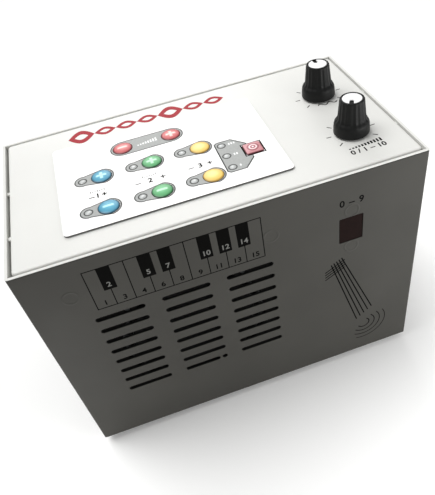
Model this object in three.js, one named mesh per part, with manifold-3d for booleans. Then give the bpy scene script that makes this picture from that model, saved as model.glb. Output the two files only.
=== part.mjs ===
// An electronic tanpura: a folded metal box that plays a drone through a loudspeaker.
// Its top carries a keypad with nine keys and two skirted knobs. Its front has a slotted
// field for the loudspeaker and a red window for the one-digit pitch display.
// Millimetres, Z up, front towards -Y. The origin lies on the table, under the middle
// of the footprint, and the feet stand on Z = 0.
import * as THREE from 'three';
import { mergeVertices } from 'three/addons/utils/BufferGeometryUtils.js';
import Module from 'manifold-3d';

const wasm = await Module();
wasm.setup();

// Driving dimensions of the cabinet, which is one folded wrap of sheet metal.
const cabinetWidth = 229;
const cabinetDepth = 128;
const cabinetHeight = 163;
const sheet = 1.5;
const bendInside = 0.5;
const flangeWidth = 12;

// General clearances. slip is left between pieces that fit in or beside one another.
const slip = 0.3;
const overrun = 1;

// Loudspeaker slots in the front wall, in columns and rows round the speaker's centre,
// which stands at a share of the way from the left wall to the display's board.
const speakerPlaceShare = 0.478;
const speakerBelowTop = 82.1;
const slotLength = 28;
const slotWidth = 3;
const slotColumnPitch = 38.1;
const slotRowPitch = 10.05;
const slotColumns = 3;
const slotRows = 8;

// Pitch display behind the front wall.
const windowFromRight = 45.8;
const windowBelowTop = 39.8;
const windowWidth = 14.8;
const windowHeight = 18.8;
const filterMargin = 3.6;
const filterEndMargin = 8.6;
const filterThickness = 1.5;
const filterRecess = 0.25;
const digitWidth = 12.6;
const digitHeight = 19;
const digitDepth = 8;
const displayStudPitch = 27.5;
const displayBoardThickness = 1.6;

// Top plate, a shallow pan held inside the cabinet's rim by two welded tabs a side.
const plateInset = 3.5;
const plateLeftInset = 3.05;
const plateRightInset = 2.55;
const plateThickness = 1.2;
const plateDrop = 0.5;
const plateSkirt = 12;
const plateBend = 1.2;
const plateCorner = 1;
const tabLength = 2.6;
const tabFromFront = [33.5, 75];

// Keypad: a printed overlay on a thin circuit sheet, with keys that stand through it. The
// bare plate between the left wall and the knobs is shared out on both sides of it. The
// keys' columns stand at shares of the overlay's width, and their rows at real depths.
const overlayMarginShare = 0.4944;
const overlayWidth = 127.6;
const overlayFront = 18.1;
const overlayBack = 102.8;
const overlayCorner = 2.5;
const overlayThickness = 0.7;
const circuitThickness = 0.5;
const circuitInset = 1;
const tailWidth = 18;
const tailShare = 0.5;
const tailFromFront = 96.5;
const keyRadius = 6;
const keyTravel = 0.5;
const keyStopGap = 0.1;
const keyEdgeHeight = 0.45;
const keyCrown = 0.75;
const keyCrownShares = [[0.9, 0.45], [0.62, 0.85]];
const modeKeySize = 10.6;
const modeKeyCorner = 1.5;
const mainKeysFromFront = 84.4;
const mainDownShare = 0.3284;
const mainUpShare = 0.5658;
const fineKeysShare = 0.2022;
const manualKeysShare = 0.4365;
const tempoKeysShare = 0.6654;
const upperRowFromFront = 61.9;
const lowerRowFromFront = 32.2;
const modeKeyShare = 0.884;
const modeKeyFromFront = 46.4;
const lensRadius = 1.75;
const lensFromKey = 11.1;
const modeLensShare = 0.7578;
const modeLensFromFront = [34.4, 46, 57.2];

// Skirted knobs and the two controls below them.
const knobFromRight = 28.8;
const volumeFromFront = 35.9;
const toneFromFront = 82.6;
const knobLift = 1;
const knobHeight = 20.6;
const skirtRadius = 10.35;
const skirtTopRadius = 10;
const skirtHeight = 6.2;
const skirtWall = 1.3;
const shoulderHeight = 2.8;
const bodyRadius = 7.95;
const bodyTopRadius = 7;
const knobEdge = 0.35;
const fluteCount = 18;
const columnsPerFlute = 3;
const fluteDepth = 0.28;
const capRadius = 5.6;
const capThickness = 0.8;
const capRecess = 0.6;
const notchWidth = 2.1;
const notchInner = 1.8;
const shaftRadius = 3;
const shaftFlat = 1.5;
const shaftRise = 16;
const shaftDrop = 4;
const bushRadius = 4.7;
const bushHeight = 5;
const potNutAcrossFlats = 12.7;
const potNutHeight = 2.2;
const potWasherRadius = 7.6;
const potWasherThickness = 0.6;
const volumePotRadius = 12;
const volumePotHeight = 9;
const volumeSwitchRadius = 10;
const volumeSwitchHeight = 8;
const tonePotRadius = 8.5;
const tonePotHeight = 8;
const potLugWidth = 1.6;
const potLugLength = 6;
const potLugThickness = 0.8;
const potLugPitch = 5;

// Base plate, feet and fasteners.
const basePlateThickness = 1.5;
const footHeight = 6;
const footRadius = 7.5;
const footTipRadius = 6.6;
const footInset = 20;
const footFloor = 3;
const screwRadius = 1.5;
const screwHeadRadius = 2.8;
const screwHeadHeight = 1.8;
const nutAcrossFlats = 5.5;
const nutHeight = 2.4;

// Speaker board behind the slots, on two studs and a foot clip.
const baffleThickness = 3;
const baffleEdgeShares = [0.106, 0.85];
const baffleBelowTop = 17;
const baffleStudInsets = [5.7, -11.2];
const baffleStudBelowTop = 25.3;
const clipLength = 40;
const clipHeight = 10;
const clipFoot = 8;
const clipThickness = 1;

// Loudspeaker, turned about its own axis, which points to the back.
const speakerOpening = 45;
const gasketThickness = 1.5;
const gasketInner = 44.2;
const rimRadius = 52;
const rimInner = 42;
const rimThickness = 1;
const speakerScrewCircle = 48.2;
const speakerScrewLength = 5;
const basketDepth = 25;
const basketFloorRadius = 24;
const basketWall = 1;
const basketHole = 13;
const basketWindows = 6;
const basketWindowShare = 0.62;
const basketBand = 3;
const surroundWidth = 3.7;
const surroundThickness = 0.5;
const surroundLand = 1.4;
const coneEdgeRadius = 37.8;
const coneThroatRadius = 10.9;
const coneDepth = 16;
const coneThickness = 0.7;
const coilThickness = 0.6;
const coilLength = 13;
const dustCapRadius = 13.4;
const dustCapRise = 4.6;
const dustCapThickness = 0.6;
const poleRadius = 9.9;
const magnetInner = 15;
const magnetRadius = 29;
const magnetThickness = 11;
const frontPlateThickness = 3.5;
const backPlateThickness = 4;
const ironRadius = 27;

// Main circuit board and what stands on it. Its back edge lies behind the keypad's tail.
const boardMarginShare = 0.62;
const boardBehindTail = 6;
const boardWidth = 98;
const boardDepth = 70;
const boardThickness = 1.6;
const boardScrewInset = 14;
const standoffHeight = 8;
const spacerRadius = 2.8;
const chipHeight = 3.6;
const chipWidth = 7.6;
const connectorWidth = 6;
const connectorHeight = 8;
const capacitorRadius = 5;
const capacitorHeight = 16;
const sinkBase = 3;
const sinkHeight = 24;
const sinkFins = 6;
const sinkFinPitch = 5;
const sinkFinThickness = 1.3;
const sinkFinLength = 9;

// Mains transformer on the base plate.
const transformerFromRight = 49;
const transformerFromFront = 70;
const coreWidth = 41;
const coreHeight = 34;
const coreStack = 15;
const coreLimb = 7;
const windingReach = 6;
const strapThickness = 1;
const strapWidth = 12;
const strapFoot = 9;

// Sockets on the back wall.
const socketsAboveBase = 45;
const inletFromRight = 39;
const inletFlangeWidth = 30;
const inletFlangeHeight = 17;
const inletFlangeThickness = 2;
const inletBodyWidth = 24;
const inletBodyHeight = 13;
const inletBodyDepth = 18;
const inletWellRadius = 4.7;
const inletWellWaist = 7.6;
const inletWellDepth = 14;
const inletCorner = 1.5;
const pinRadius = 1.2;
const pinPitch = 8.6;
const pinReach = 9;
const pinTail = 5;
const jackBodyWidth = 14;
const jackBodyDepth = 26;
const jackBushRadius = 4.8;
const jackBushReach = 4.5;
const jackBoreRadius = 3.3;
const jackBoreDepth = 29;
const jackNutRadius = 7;
const jackNutThickness = 2;

// Flat leads between the boards, the controls and the sockets.
const wireThickness = 1.2;
const wirePitch = 2;
const wireReach = 32;
const wireShortReach = 10;
const wireSteps = 12;
const pairCores = 2;
const potCores = 3;
const mainsCores = 4;
const displayCores = 6;
const terminalWidth = 12;
const terminalDepth = 5;
const terminalThickness = 2;

// Facets of round work: large, middling and small.
const fineSteps = 24;
const roundSteps = 18;
const smallSteps = 14;
const holeSteps = 8;
const cornerSteps = 3;
const fastenerSteps = 6;
const hexSides = 6;
const rollSteps = 3;
const domeSteps = 3;

const quarterTurn = Math.PI / 2;
const halfTurn = Math.PI;
const fullTurn = Math.PI * 2;

// Planes and levels worked out from the driving dimensions.
const rearReach = Math.max(jackBushReach, inletFlangeThickness);
const left = -cabinetWidth / 2;
const right = cabinetWidth / 2;
const front = -(cabinetDepth + rearReach) / 2;
const back = front + cabinetDepth;
const bottom = footHeight;
const top = footHeight + cabinetHeight;
const baseTop = bottom + basePlateThickness;
const flangeTop = baseTop + sheet;
const plateTop = top - plateDrop;
const plateUnder = plateTop - plateThickness;
const overlayUnder = plateTop + circuitThickness;
const overlayTop = overlayUnder + overlayThickness;
const boardTop = baseTop + standoffHeight + boardThickness;
const windowX = right - windowFromRight;
const windowZ = top - windowBelowTop;
const speakerSpan = windowX - windowWidth / 2 - filterMargin - left;
const speakerX = left + speakerSpan * speakerPlaceShare;
const speakerZ = top - speakerBelowTop;
const knobX = right - knobFromRight;
const overlayX = left + (knobX - skirtRadius - overlayWidth - left) * overlayMarginShare;
const tailX = overlayX + overlayWidth * tailShare;
const inletX = right - inletFromRight;
const socketsZ = bottom + socketsAboveBase;

// Solids. A shape is cut and joined as a solid, and ends as a plain geometry.
function toSolid(geometry) {
  const bare = geometry.clone();
  bare.deleteAttribute('normal');
  bare.deleteAttribute('uv');
  const merged = mergeVertices(bare);
  const corners = merged.index.array;
  const kept = [];
  for (let i = 0; i < corners.length; i += 3) {
    const [a, b, c] = [corners[i], corners[i + 1], corners[i + 2]];
    if (a !== b && b !== c && c !== a) kept.push(a, b, c);
  }
  return new wasm.Manifold(new wasm.Mesh({
    numProp: 3,
    vertProperties: new Float32Array(merged.attributes.position.array),
    triVerts: new Uint32Array(kept),
  }));
}

function toGeometry(solid) {
  const mesh = solid.getMesh();
  const geometry = new THREE.BufferGeometry();
  geometry.setAttribute('position', new THREE.BufferAttribute(mesh.vertProperties, 3));
  geometry.setIndex(new THREE.BufferAttribute(mesh.triVerts, 1));
  geometry.computeVertexNormals();
  return geometry;
}

const join = (solids) => solids.reduce((sum, solid) => sum.add(solid));
const cut = (solid, tools) => tools.reduce((rest, tool) => rest.subtract(tool), solid);

// Outlines, drawn in a plane and then pushed along an axis or turned about one.
function arc(x, y, radius, start, end, steps) {
  return new THREE.EllipseCurve(x, y, radius, radius, start, end).getPoints(steps);
}

function circle(radius, x = 0, y = 0, steps = holeSteps) {
  return new THREE.Shape(arc(x, y, radius, 0, fullTurn, steps).slice(0, -1));
}

function roundedRectangle(x0, y0, x1, y1, radius, steps = cornerSteps) {
  return new THREE.Shape([
    ...arc(x1 - radius, y0 + radius, radius, -quarterTurn, 0, steps),
    ...arc(x1 - radius, y1 - radius, radius, 0, quarterTurn, steps),
    ...arc(x0 + radius, y1 - radius, radius, quarterTurn, halfTurn, steps),
    ...arc(x0 + radius, y0 + radius, radius, halfTurn, halfTurn + quarterTurn, steps),
  ]);
}

function rectangle(x0, y0, x1, y1) {
  return new THREE.Shape([[x0, y0], [x1, y0], [x1, y1], [x0, y1]].map((p) => new THREE.Vector2(...p)));
}

function polygon(points) {
  return new THREE.Shape(points.map((p) => new THREE.Vector2(...p)));
}

function roundEndedSlot(x, y, length, width) {
  const reach = (length - width) / 2;
  return new THREE.Shape([
    ...arc(x + reach, y, width / 2, -quarterTurn, quarterTurn, cornerSteps),
    ...arc(x - reach, y, width / 2, quarterTurn, halfTurn + quarterTurn, cornerSteps),
  ]);
}

function hexagon(acrossFlats, x = 0, y = 0) {
  const radius = acrossFlats / 2 / Math.cos(halfTurn / hexSides);
  return circle(radius, x, y, hexSides);
}

function withHoles(shape, holes) {
  shape.holes.push(...holes);
  return shape;
}

function extruded(shape, depth) {
  return new THREE.ExtrudeGeometry(shape, { depth, bevelEnabled: false });
}

// Pushed along Z, along Y from a drawing in X and Z, or along X from one in Y and Z.
function alongZ(shape, z0, z1) {
  return toSolid(extruded(shape, z1 - z0).translate(0, 0, z0));
}

function alongY(shape, y0, y1) {
  return toSolid(extruded(shape, y1 - y0).rotateX(quarterTurn).translate(0, y1, 0));
}

function alongX(shape, x0, x1) {
  const turn = new THREE.Matrix4().makeBasis(
    new THREE.Vector3(0, 1, 0), new THREE.Vector3(0, 0, 1), new THREE.Vector3(1, 0, 0));
  return toSolid(extruded(shape, x1 - x0).applyMatrix4(turn).translate(x0, 0, 0));
}

function box(x0, x1, y0, y1, z0, z1) {
  return alongZ(rectangle(x0, y0, x1, y1), z0, z1);
}

// A turned solid about Y. The profile's points are radius and height, in a ring or
// from axis to axis, and its direction is corrected so that the faces point out.
function turnedGeometry(profile, steps) {
  const points = profile.map(([radius, height]) => new THREE.Vector2(radius, height));
  if (THREE.ShapeUtils.area(points) < 0) points.reverse();
  const onAxis = points[0].x === 0 && points[points.length - 1].x === 0;
  if (!onAxis) points.push(points[0].clone());
  return new THREE.LatheGeometry(points, steps);
}

const turnedY = (profile, steps = roundSteps) => toSolid(turnedGeometry(profile, steps));
const turnedZ = (profile, steps = roundSteps) => (
  toSolid(turnedGeometry(profile, steps).rotateX(quarterTurn)));

const move = (solid, x, y, z) => solid.translate([x, y, z]);

// Scene graph. Each sub-part is one named mesh with its own material.
const tanpura = new THREE.Group();

function addPart(parent, name, solid, color, roughness, metalness = 0) {
  const material = new THREE.MeshStandardMaterial({ color, roughness, metalness });
  const mesh = new THREE.Mesh(toGeometry(solid), material);
  mesh.name = name;
  parent.add(mesh);
  return mesh;
}

function addGroup(parent, x, y, z, turn = 0) {
  const group = new THREE.Group();
  group.position.set(x, y, z);
  group.rotation.z = turn;
  parent.add(group);
  return group;
}

// Fasteners. A bolt's head is below its seat, and its shank rises through a nut.
function disc(radius, z0, z1, steps = fastenerSteps) {
  return alongZ(circle(radius, 0, 0, steps), z0, z1);
}

function bolt(seat, nutSeat) {
  return join([
    disc(screwHeadRadius, seat - screwHeadHeight, seat),
    disc(screwRadius, seat - screwHeadHeight / 2, nutSeat + nutHeight + screwRadius),
    alongZ(hexagon(nutAcrossFlats), nutSeat, nutSeat + nutHeight),
  ]);
}

// A stud stands on the front wall's inside, at [x, z], and a nut closes on it.
function studWithNut([x, z], nutSeat) {
  return join([
    alongY(circle(screwRadius, x, z, fastenerSteps), frontInside, nutSeat + nutHeight + screwRadius),
    alongY(hexagon(nutAcrossFlats, x, z), nutSeat, nutSeat + nutHeight),
  ]);
}

const screwHole = screwRadius + slip;

// Places of what is fixed through the base plate, as [x, y].
const footX = cabinetWidth / 2 - footInset;
const footPlaces = {
  front_left: [-footX, front + footInset],
  front_right: [footX, front + footInset],
  back_left: [-footX, back - footInset],
  back_right: [footX, back - footInset],
};
const transformerX = right - transformerFromRight;
const transformerY = front + transformerFromFront;
const strapReach = coreWidth / 2 + strapThickness + strapFoot;
const boardX0 = left + (transformerX - strapReach - boardWidth - left) * boardMarginShare;
const boardY0 = front + tailFromFront + boardBehindTail - boardDepth;
const headerShares = {
  line_out: [0.286, 0.55],
  volume: [0.9, 0.5],
  tone: [0.9, 0.68],
  display: [0.9, 0.32],
  transformer: [0.88, 0.08],
  speaker: [0.6, 0.06],
};
const jackX = boardX0 + boardWidth * headerShares.line_out[0];
const boardScrewPlaces = [boardScrewInset, boardWidth - boardScrewInset].flatMap((x) => (
  [boardScrewInset, boardDepth - boardScrewInset].map((y) => [boardX0 + x, boardY0 + y])));
const strapScrewX = coreWidth / 2 + strapThickness + strapFoot / 2;
const strapScrewPlaces = [-strapScrewX, strapScrewX].map((x) => [transformerX + x, transformerY]);
const frontInside = front + sheet;

// Cabinet: four walls round a rounded corner, with a flange folded in at the foot.
function cabinetWrap() {
  const outline = (inset) => roundedRectangle(
    left + inset, front + inset, right - inset, back - inset, bendInside + Math.max(sheet - inset, 0));
  const walls = alongZ(withHoles(outline(0), [outline(sheet)]), bottom, top);
  const flange = alongZ(
    withHoles(outline(sheet / 2), [outline(sheet + flangeWidth)]), baseTop, flangeTop);
  return join([walls, flange]);
}

function wallHole(shape, wallBack) {
  return alongY(shape, wallBack - sheet - overrun, wallBack + overrun);
}

function grilleSlots() {
  const slots = [];
  for (let column = 0; column < slotColumns; column += 1) {
    for (let row = 0; row < slotRows; row += 1) {
      const x = speakerX + (column - (slotColumns - 1) / 2) * slotColumnPitch;
      const z = speakerZ + (row - (slotRows - 1) / 2) * slotRowPitch;
      slots.push(wallHole(roundEndedSlot(x, z, slotLength, slotWidth), frontInside));
    }
  }
  return join(slots);
}

function inletBodyOutline(grow) {
  const [w, h] = [inletBodyWidth / 2 + grow, inletBodyHeight / 2 + grow];
  return roundedRectangle(inletX - w, socketsZ - h, inletX + w, socketsZ + h, inletCorner);
}

function windowOutline(grow) {
  const [w, h] = [windowWidth / 2 + grow, windowHeight / 2 + grow];
  return rectangle(windowX - w, windowZ - h, windowX + w, windowZ + h);
}

function cabinetShell() {
  return cut(cabinetWrap(), [
    grilleSlots(),
    wallHole(windowOutline(0), frontInside),
    wallHole(inletBodyOutline(slip), back),
    wallHole(circle(jackBushRadius + slip, jackX, socketsZ, roundSteps), back),
  ]);
}

// Top plate: a pan with rounded top edges, a skirt and two tabs on each side.
function topPlate() {
  const panLeft = left + plateLeftInset;
  const panRight = right - plateRightInset;
  const inset = plateInset + plateBend;
  const outline = roundedRectangle(
    panLeft + plateBend, front + inset, panRight - plateBend, back - inset, plateCorner);
  const pan = toSolid(new THREE.ExtrudeGeometry(outline, {
    depth: plateSkirt,
    bevelThickness: plateBend,
    bevelSize: plateBend,
    bevelSegments: cornerSteps,
  }).translate(0, 0, plateTop - plateBend - plateSkirt));
  const skirtFoot = plateTop - plateSkirt;
  const inner = plateInset + plateThickness;
  const [wallLeft, wallRight] = [panLeft + plateThickness, panRight - plateThickness];
  const hollow = alongZ(
    roundedRectangle(wallLeft, front + inner, wallRight, back - inner, plateCorner),
    skirtFoot - plateSkirt, plateUnder);
  const below = box(left, right, front, back, skirtFoot - plateSkirt, skirtFoot);
  const tabs = tabFromFront.flatMap((y) => {
    const [y0, y1] = [front + y - tabLength / 2, front + y + tabLength / 2];
    const tabTop = plateTop - plateBend;
    return [
      box(left + sheet, wallLeft, y0, y1, tabTop - plateThickness, tabTop),
      box(wallRight, right - sheet, y0, y1, tabTop - plateThickness, tabTop),
    ];
  });
  const bushHoles = [volumeFromFront, toneFromFront].map((y) => (
    alongZ(circle(bushRadius + slip, knobX, front + y, roundSteps), plateUnder - overrun, top)));
  const slitHalf = tailWidth / 2 + slip;
  const slitY = front + tailFromFront;
  const slitDepth = circuitThickness / 2 + slip;
  const slit = box(tailX - slitHalf, tailX + slitHalf, slitY - slitDepth, slitY + slitDepth,
    plateUnder - overrun, top);
  return join([cut(pan, [hollow, below]), ...tabs]).subtract(join([...bushHoles, slit]));
}

function basePlate() {
  const inset = sheet + slip;
  const outline = roundedRectangle(left + inset, front + inset, right - inset, back - inset, bendInside);
  const places = [...Object.values(footPlaces), ...strapScrewPlaces];
  return alongZ(withHoles(outline, places.map(([x, y]) => circle(screwHole, x, y))), bottom, baseTop);
}

// A rubber foot with a deep recess, so that the screw's head stays off the table.
function foot() {
  return turnedZ([
    [screwHole, footFloor], [screwHeadRadius + slip, footFloor], [screwHeadRadius + slip, 0],
    [footTipRadius, 0], [footRadius, footHeight - footFloor / 2], [footRadius, footHeight],
    [screwHole, footHeight],
  ], smallSteps);
}

function footScrew() {
  return bolt(footFloor, baseTop);
}

// Studs pressed into the front wall carry the speaker board and the display.
const baffleEdges = baffleEdgeShares.map((share) => left + speakerSpan * share);
const baffleStudPlaces = baffleEdges.map((x, side) => (
  [x + baffleStudInsets[side], top - baffleStudBelowTop]));
const displayStudPlaces = [-displayStudPitch / 2, displayStudPitch / 2].map((z) => (
  [windowX, windowZ + z]));
const baffleBack = frontInside + baffleThickness;
const filterBack = frontInside + filterThickness;
const displayBoardFront = filterBack + slip + digitDepth;
const displayBoardBack = displayBoardFront + displayBoardThickness;

// Keypad. Keys are named by what they change and by their direction.
const onOverlay = (share, fromFront) => [overlayX + overlayWidth * share, front + fromFront];
const red = 0xd85a5a;
const blue = 0x46a0c8;
const green = 0x5ab46e;
const yellow = 0xf5cd5a;
const roundKeys = [
  ['key_main_down', onOverlay(mainDownShare, mainKeysFromFront), red],
  ['key_main_up', onOverlay(mainUpShare, mainKeysFromFront), red],
  ['key_fine_up', onOverlay(fineKeysShare, upperRowFromFront), blue],
  ['key_fine_down', onOverlay(fineKeysShare, lowerRowFromFront), blue],
  ['key_manual_up', onOverlay(manualKeysShare, upperRowFromFront), green],
  ['key_manual_down', onOverlay(manualKeysShare, lowerRowFromFront), green],
  ['key_tempo_up', onOverlay(tempoKeysShare, upperRowFromFront), yellow],
  ['key_tempo_down', onOverlay(tempoKeysShare, lowerRowFromFront), yellow],
];
const [modeKeyX, modeKeyY] = onOverlay(modeKeyShare, modeKeyFromFront);
const lensPlaces = [
  ...[fineKeysShare, manualKeysShare, tempoKeysShare].flatMap((share) => (
    [upperRowFromFront, lowerRowFromFront].map((fromFront) => {
      const [x, y] = onOverlay(share, fromFront);
      return [x - lensFromKey, y];
    }))),
  ...modeLensFromFront.map((fromFront) => onOverlay(modeLensShare, fromFront)),
];

function modeKeyOutline(grow) {
  const reach = modeKeySize / 2 + grow;
  return roundedRectangle(-reach, -reach, reach, reach, modeKeyCorner + grow);
}

function keypadOverlay() {
  const outline = roundedRectangle(
    overlayX, front + overlayFront, overlayX + overlayWidth, front + overlayBack, overlayCorner);
  const keyHoles = roundKeys.map(([, [x, y]]) => circle(keyRadius + slip, x, y, roundSteps));
  const lensHoles = lensPlaces.map(([x, y]) => circle(lensRadius + slip, x, y));
  const sheetSolid = alongZ(withHoles(outline, [...keyHoles, ...lensHoles]), overlayUnder, overlayTop);
  const modeHole = alongZ(modeKeyOutline(slip), overlayUnder - overrun, overlayTop + overrun);
  return sheetSolid.subtract(move(modeHole, modeKeyX, modeKeyY, 0));
}

// The circuit sheet carries nine flat lamps that stand in the overlay's holes. It ends in
// a tail that drops through the plate to the main board.
function keypadCircuit() {
  const flat = alongZ(roundedRectangle(
    overlayX + circuitInset, front + overlayFront + circuitInset,
    overlayX + overlayWidth - circuitInset, front + overlayBack - circuitInset,
    overlayCorner), plateTop, overlayUnder);
  const [x, y] = [tailX, front + tailFromFront];
  const tail = box(x - tailWidth / 2, x + tailWidth / 2, y - circuitThickness / 2, y + circuitThickness / 2,
    boardTop + connectorHeight / 2, overlayUnder);
  const leds = lensPlaces.map(([x0, y0]) => alongZ(circle(lensRadius, x0, y0), plateTop, overlayTop));
  return join([flat, tail, ...leds]);
}

const keyUnder = circuitThickness + keyTravel + keyStopGap;

function roundKey() {
  const edge = keyUnder + keyEdgeHeight;
  const crown = edge + keyCrown;
  const shoulders = keyCrownShares.map(([radiusShare, riseShare]) => (
    [keyRadius * radiusShare, edge + keyCrown * riseShare]));
  return turnedZ([[0, keyUnder], [keyRadius, keyUnder], [keyRadius, edge], ...shoulders, [0, crown]]);
}

function modeKey() {
  const solid = new THREE.ExtrudeGeometry(modeKeyOutline(-keyCrown / 2), {
    depth: keyEdgeHeight + keyCrown / 2,
    bevelThickness: keyCrown / 2,
    bevelSize: keyCrown / 2,
    bevelSegments: 2,
  }).translate(0, 0, keyUnder);
  const below = box(-modeKeySize, modeKeySize, -modeKeySize, modeKeySize, -overrun, keyUnder);
  return toSolid(solid).subtract(below);
}

// A shaft with a flat on one side, and the bore that takes it.
function shaftOutline(grow) {
  const radius = shaftRadius + grow;
  const flat = shaftRadius - shaftFlat + grow;
  const angle = Math.acos(flat / radius);
  return new THREE.Shape(arc(0, 0, radius, angle, fullTurn - angle, roundSteps - cornerSteps));
}

// Knob: a wide skirt with a rounded shoulder, and a fluted, tapered body above it.
function knobProfile() {
  const skirtTop = knobLift + skirtHeight;
  const shoulder = [];
  for (let step = 1; step <= cornerSteps; step += 1) {
    const angle = quarterTurn * step / cornerSteps;
    shoulder.push([
      bodyRadius + (skirtTopRadius - bodyRadius) * Math.cos(angle),
      skirtTop + shoulderHeight * Math.sin(angle),
    ]);
  }
  const knobTop = knobLift + knobHeight;
  return [
    [0, knobLift], [skirtRadius, knobLift], [skirtTopRadius, skirtTop], ...shoulder,
    [bodyRadius, skirtTop + shoulderHeight + knobEdge],
    [bodyTopRadius, knobTop - knobEdge], [bodyTopRadius - knobEdge, knobTop],
    [0, knobTop],
  ];
}

// One column of points in each flute stays out as a rib, and the others sink beside it.
function fluted(geometry, fromHeight) {
  const points = geometry.attributes.position;
  const spot = new THREE.Vector3();
  for (let i = 0; i < points.count; i += 1) {
    spot.fromBufferAttribute(points, i);
    const radius = Math.hypot(spot.x, spot.z);
    const turn = Math.atan2(spot.x, spot.z) / fullTurn;
    const onRib = Math.round(turn * fluteCount * columnsPerFlute) % columnsPerFlute === 0;
    const onBody = spot.y > fromHeight && radius > bodyTopRadius - knobEdge * 2;
    if (onBody && !onRib) {
      const share = (radius - fluteDepth) / radius;
      points.setXYZ(i, spot.x * share, spot.y, spot.z * share);
    }
  }
  return geometry;
}

function knob() {
  const blank = turnedGeometry(knobProfile(), fluteCount * columnsPerFlute);
  const body = toSolid(fluted(blank, knobLift + skirtHeight + shoulderHeight).rotateX(quarterTurn));
  const cavityTop = bushHeight + slip * 2;
  const knobTop = knobLift + knobHeight;
  return cut(body, [
    alongZ(circle(skirtTopRadius - skirtWall, 0, 0, roundSteps), 0, cavityTop),
    alongZ(shaftOutline(slip), 0, shaftRise + slip),
    alongZ(circle(capRadius + slip, 0, 0, roundSteps), knobTop - capRecess, knobTop + overrun),
  ]);
}

function knobCap() {
  const disc = alongZ(circle(capRadius, 0, 0, roundSteps), 0, capThickness);
  const notch = box(-notchWidth / 2, notchWidth / 2, -capRadius - overrun, -notchInner,
    -overrun, capThickness + overrun);
  return move(disc.subtract(notch), 0, 0, knobLift + knobHeight - capRecess);
}

function potShaft() {
  const flat = alongZ(shaftOutline(0), bushHeight, shaftRise);
  const round = alongZ(circle(shaftRadius, 0, 0, roundSteps), -shaftDrop, bushHeight);
  return join([flat, round]);
}

// A pot hangs under the plate by its bush. Its lugs point to the cabinet's left.
function potBody(radius, height) {
  const can = alongZ(circle(radius, 0, 0, roundSteps), -plateThickness - height, -plateThickness);
  const bush = alongZ(circle(bushRadius, 0, 0, roundSteps), -plateThickness, bushHeight);
  const lugZ = -plateThickness - height / 2;
  const lugs = [-1, 0, 1].map((place) => box(
    -radius - potLugLength, -radius + potLugWidth,
    place * potLugPitch - potLugWidth / 2, place * potLugPitch + potLugWidth / 2,
    lugZ, lugZ + potLugThickness));
  const bore = alongZ(circle(shaftRadius + slip, 0, 0, roundSteps), -shaftDrop - slip, bushHeight + overrun);
  return join([can, bush, ...lugs]).subtract(bore);
}

// A nut on a wide washer closes on the bush, inside the knob's skirt.
function potNut() {
  const washer = disc(potWasherRadius, 0, potWasherThickness, smallSteps);
  const nut = alongZ(hexagon(potNutAcrossFlats), potWasherThickness / 2, potWasherThickness + potNutHeight);
  const bore = disc(bushRadius + slip, -overrun, potWasherThickness + potNutHeight + overrun, roundSteps);
  return join([washer, nut]).subtract(bore);
}

function volumePot() {
  const under = -plateThickness - volumePotHeight;
  const switchCan = alongZ(circle(volumeSwitchRadius, 0, 0, roundSteps), under - volumeSwitchHeight, under);
  return join([potBody(volumePotRadius, volumePotHeight), switchCan]);
}

// Display: a stepped red window, a one-digit module and the board that carries it.
function displayFilter() {
  const w = windowWidth / 2 + filterMargin;
  const h = windowHeight / 2 + filterEndMargin;
  const outline = rectangle(windowX - w, windowZ - h, windowX + w, windowZ + h);
  const holes = displayStudPlaces.map(([x, z]) => circle(screwHole, x, z));
  return join([
    alongY(withHoles(outline, holes), frontInside, filterBack),
    alongY(windowOutline(-slip), front + filterRecess, filterBack),
  ]);
}

function displayDigit() {
  const [w, h] = [digitWidth / 2, digitHeight / 2];
  return alongY(rectangle(windowX - w, windowZ - h, windowX + w, windowZ + h),
    filterBack + slip, displayBoardFront);
}

// The board stands off the wall on two sleeved studs.
function displayBoard() {
  const w = windowWidth / 2 + filterMargin;
  const h = windowHeight / 2 + filterEndMargin;
  const outline = rectangle(windowX - w, windowZ - h, windowX + w, windowZ + h);
  const sleeves = displayStudPlaces.map(([x, z]) => (
    alongY(circle(spacerRadius, x, z), filterBack, displayBoardFront + displayBoardThickness / 2)));
  const studs = displayStudPlaces.map((place) => studWithNut(place, displayBoardBack));
  return join([alongY(outline, displayBoardFront, displayBoardBack), ...sleeves, ...studs]);
}

// Speaker board: its top hangs on two studs and its foot stands behind a clip.
const speakerScrewPlaces = [1, 3, 5, 7].map((eighth) => {
  const angle = eighth * quarterTurn / 2;
  return [speakerScrewCircle * Math.cos(angle), speakerScrewCircle * Math.sin(angle)];
});

function speakerBaffle() {
  const outline = rectangle(baffleEdges[0], flangeTop, baffleEdges[1], top - baffleBelowTop);
  const board = alongY(withHoles(outline, [
    circle(speakerOpening, speakerX, speakerZ, fineSteps),
    ...speakerScrewPlaces.map(([x, z]) => circle(screwHole, speakerX + x, speakerZ + z)),
  ]), frontInside, baffleBack);
  return join([board, ...baffleStudPlaces.map((place) => studWithNut(place, baffleBack))]);
}

function baffleClip() {
  const y = baffleBack + slip;
  return alongX(polygon([
    [y, flangeTop], [y + clipFoot, flangeTop], [y + clipFoot, flangeTop + clipThickness],
    [y + clipThickness, flangeTop + clipThickness], [y + clipThickness, flangeTop + clipHeight],
    [y, flangeTop + clipHeight],
  ]), speakerX - clipLength / 2, speakerX + clipLength / 2);
}

// Loudspeaker pieces, with Y = 0 on the back of the speaker board.
const rimFront = gasketThickness;
const rimBack = rimFront + rimThickness;
const floorBack = rimFront + basketDepth;
const floorFront = floorBack - basketWall;

function speakerGasket() {
  const holes = speakerScrewPlaces.map(([x, z]) => circle(screwHole, x, z));
  return alongY(withHoles(circle(rimRadius, 0, 0, fineSteps), [
    circle(gasketInner, 0, 0, fineSteps), ...holes]), 0, rimFront);
}

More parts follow.
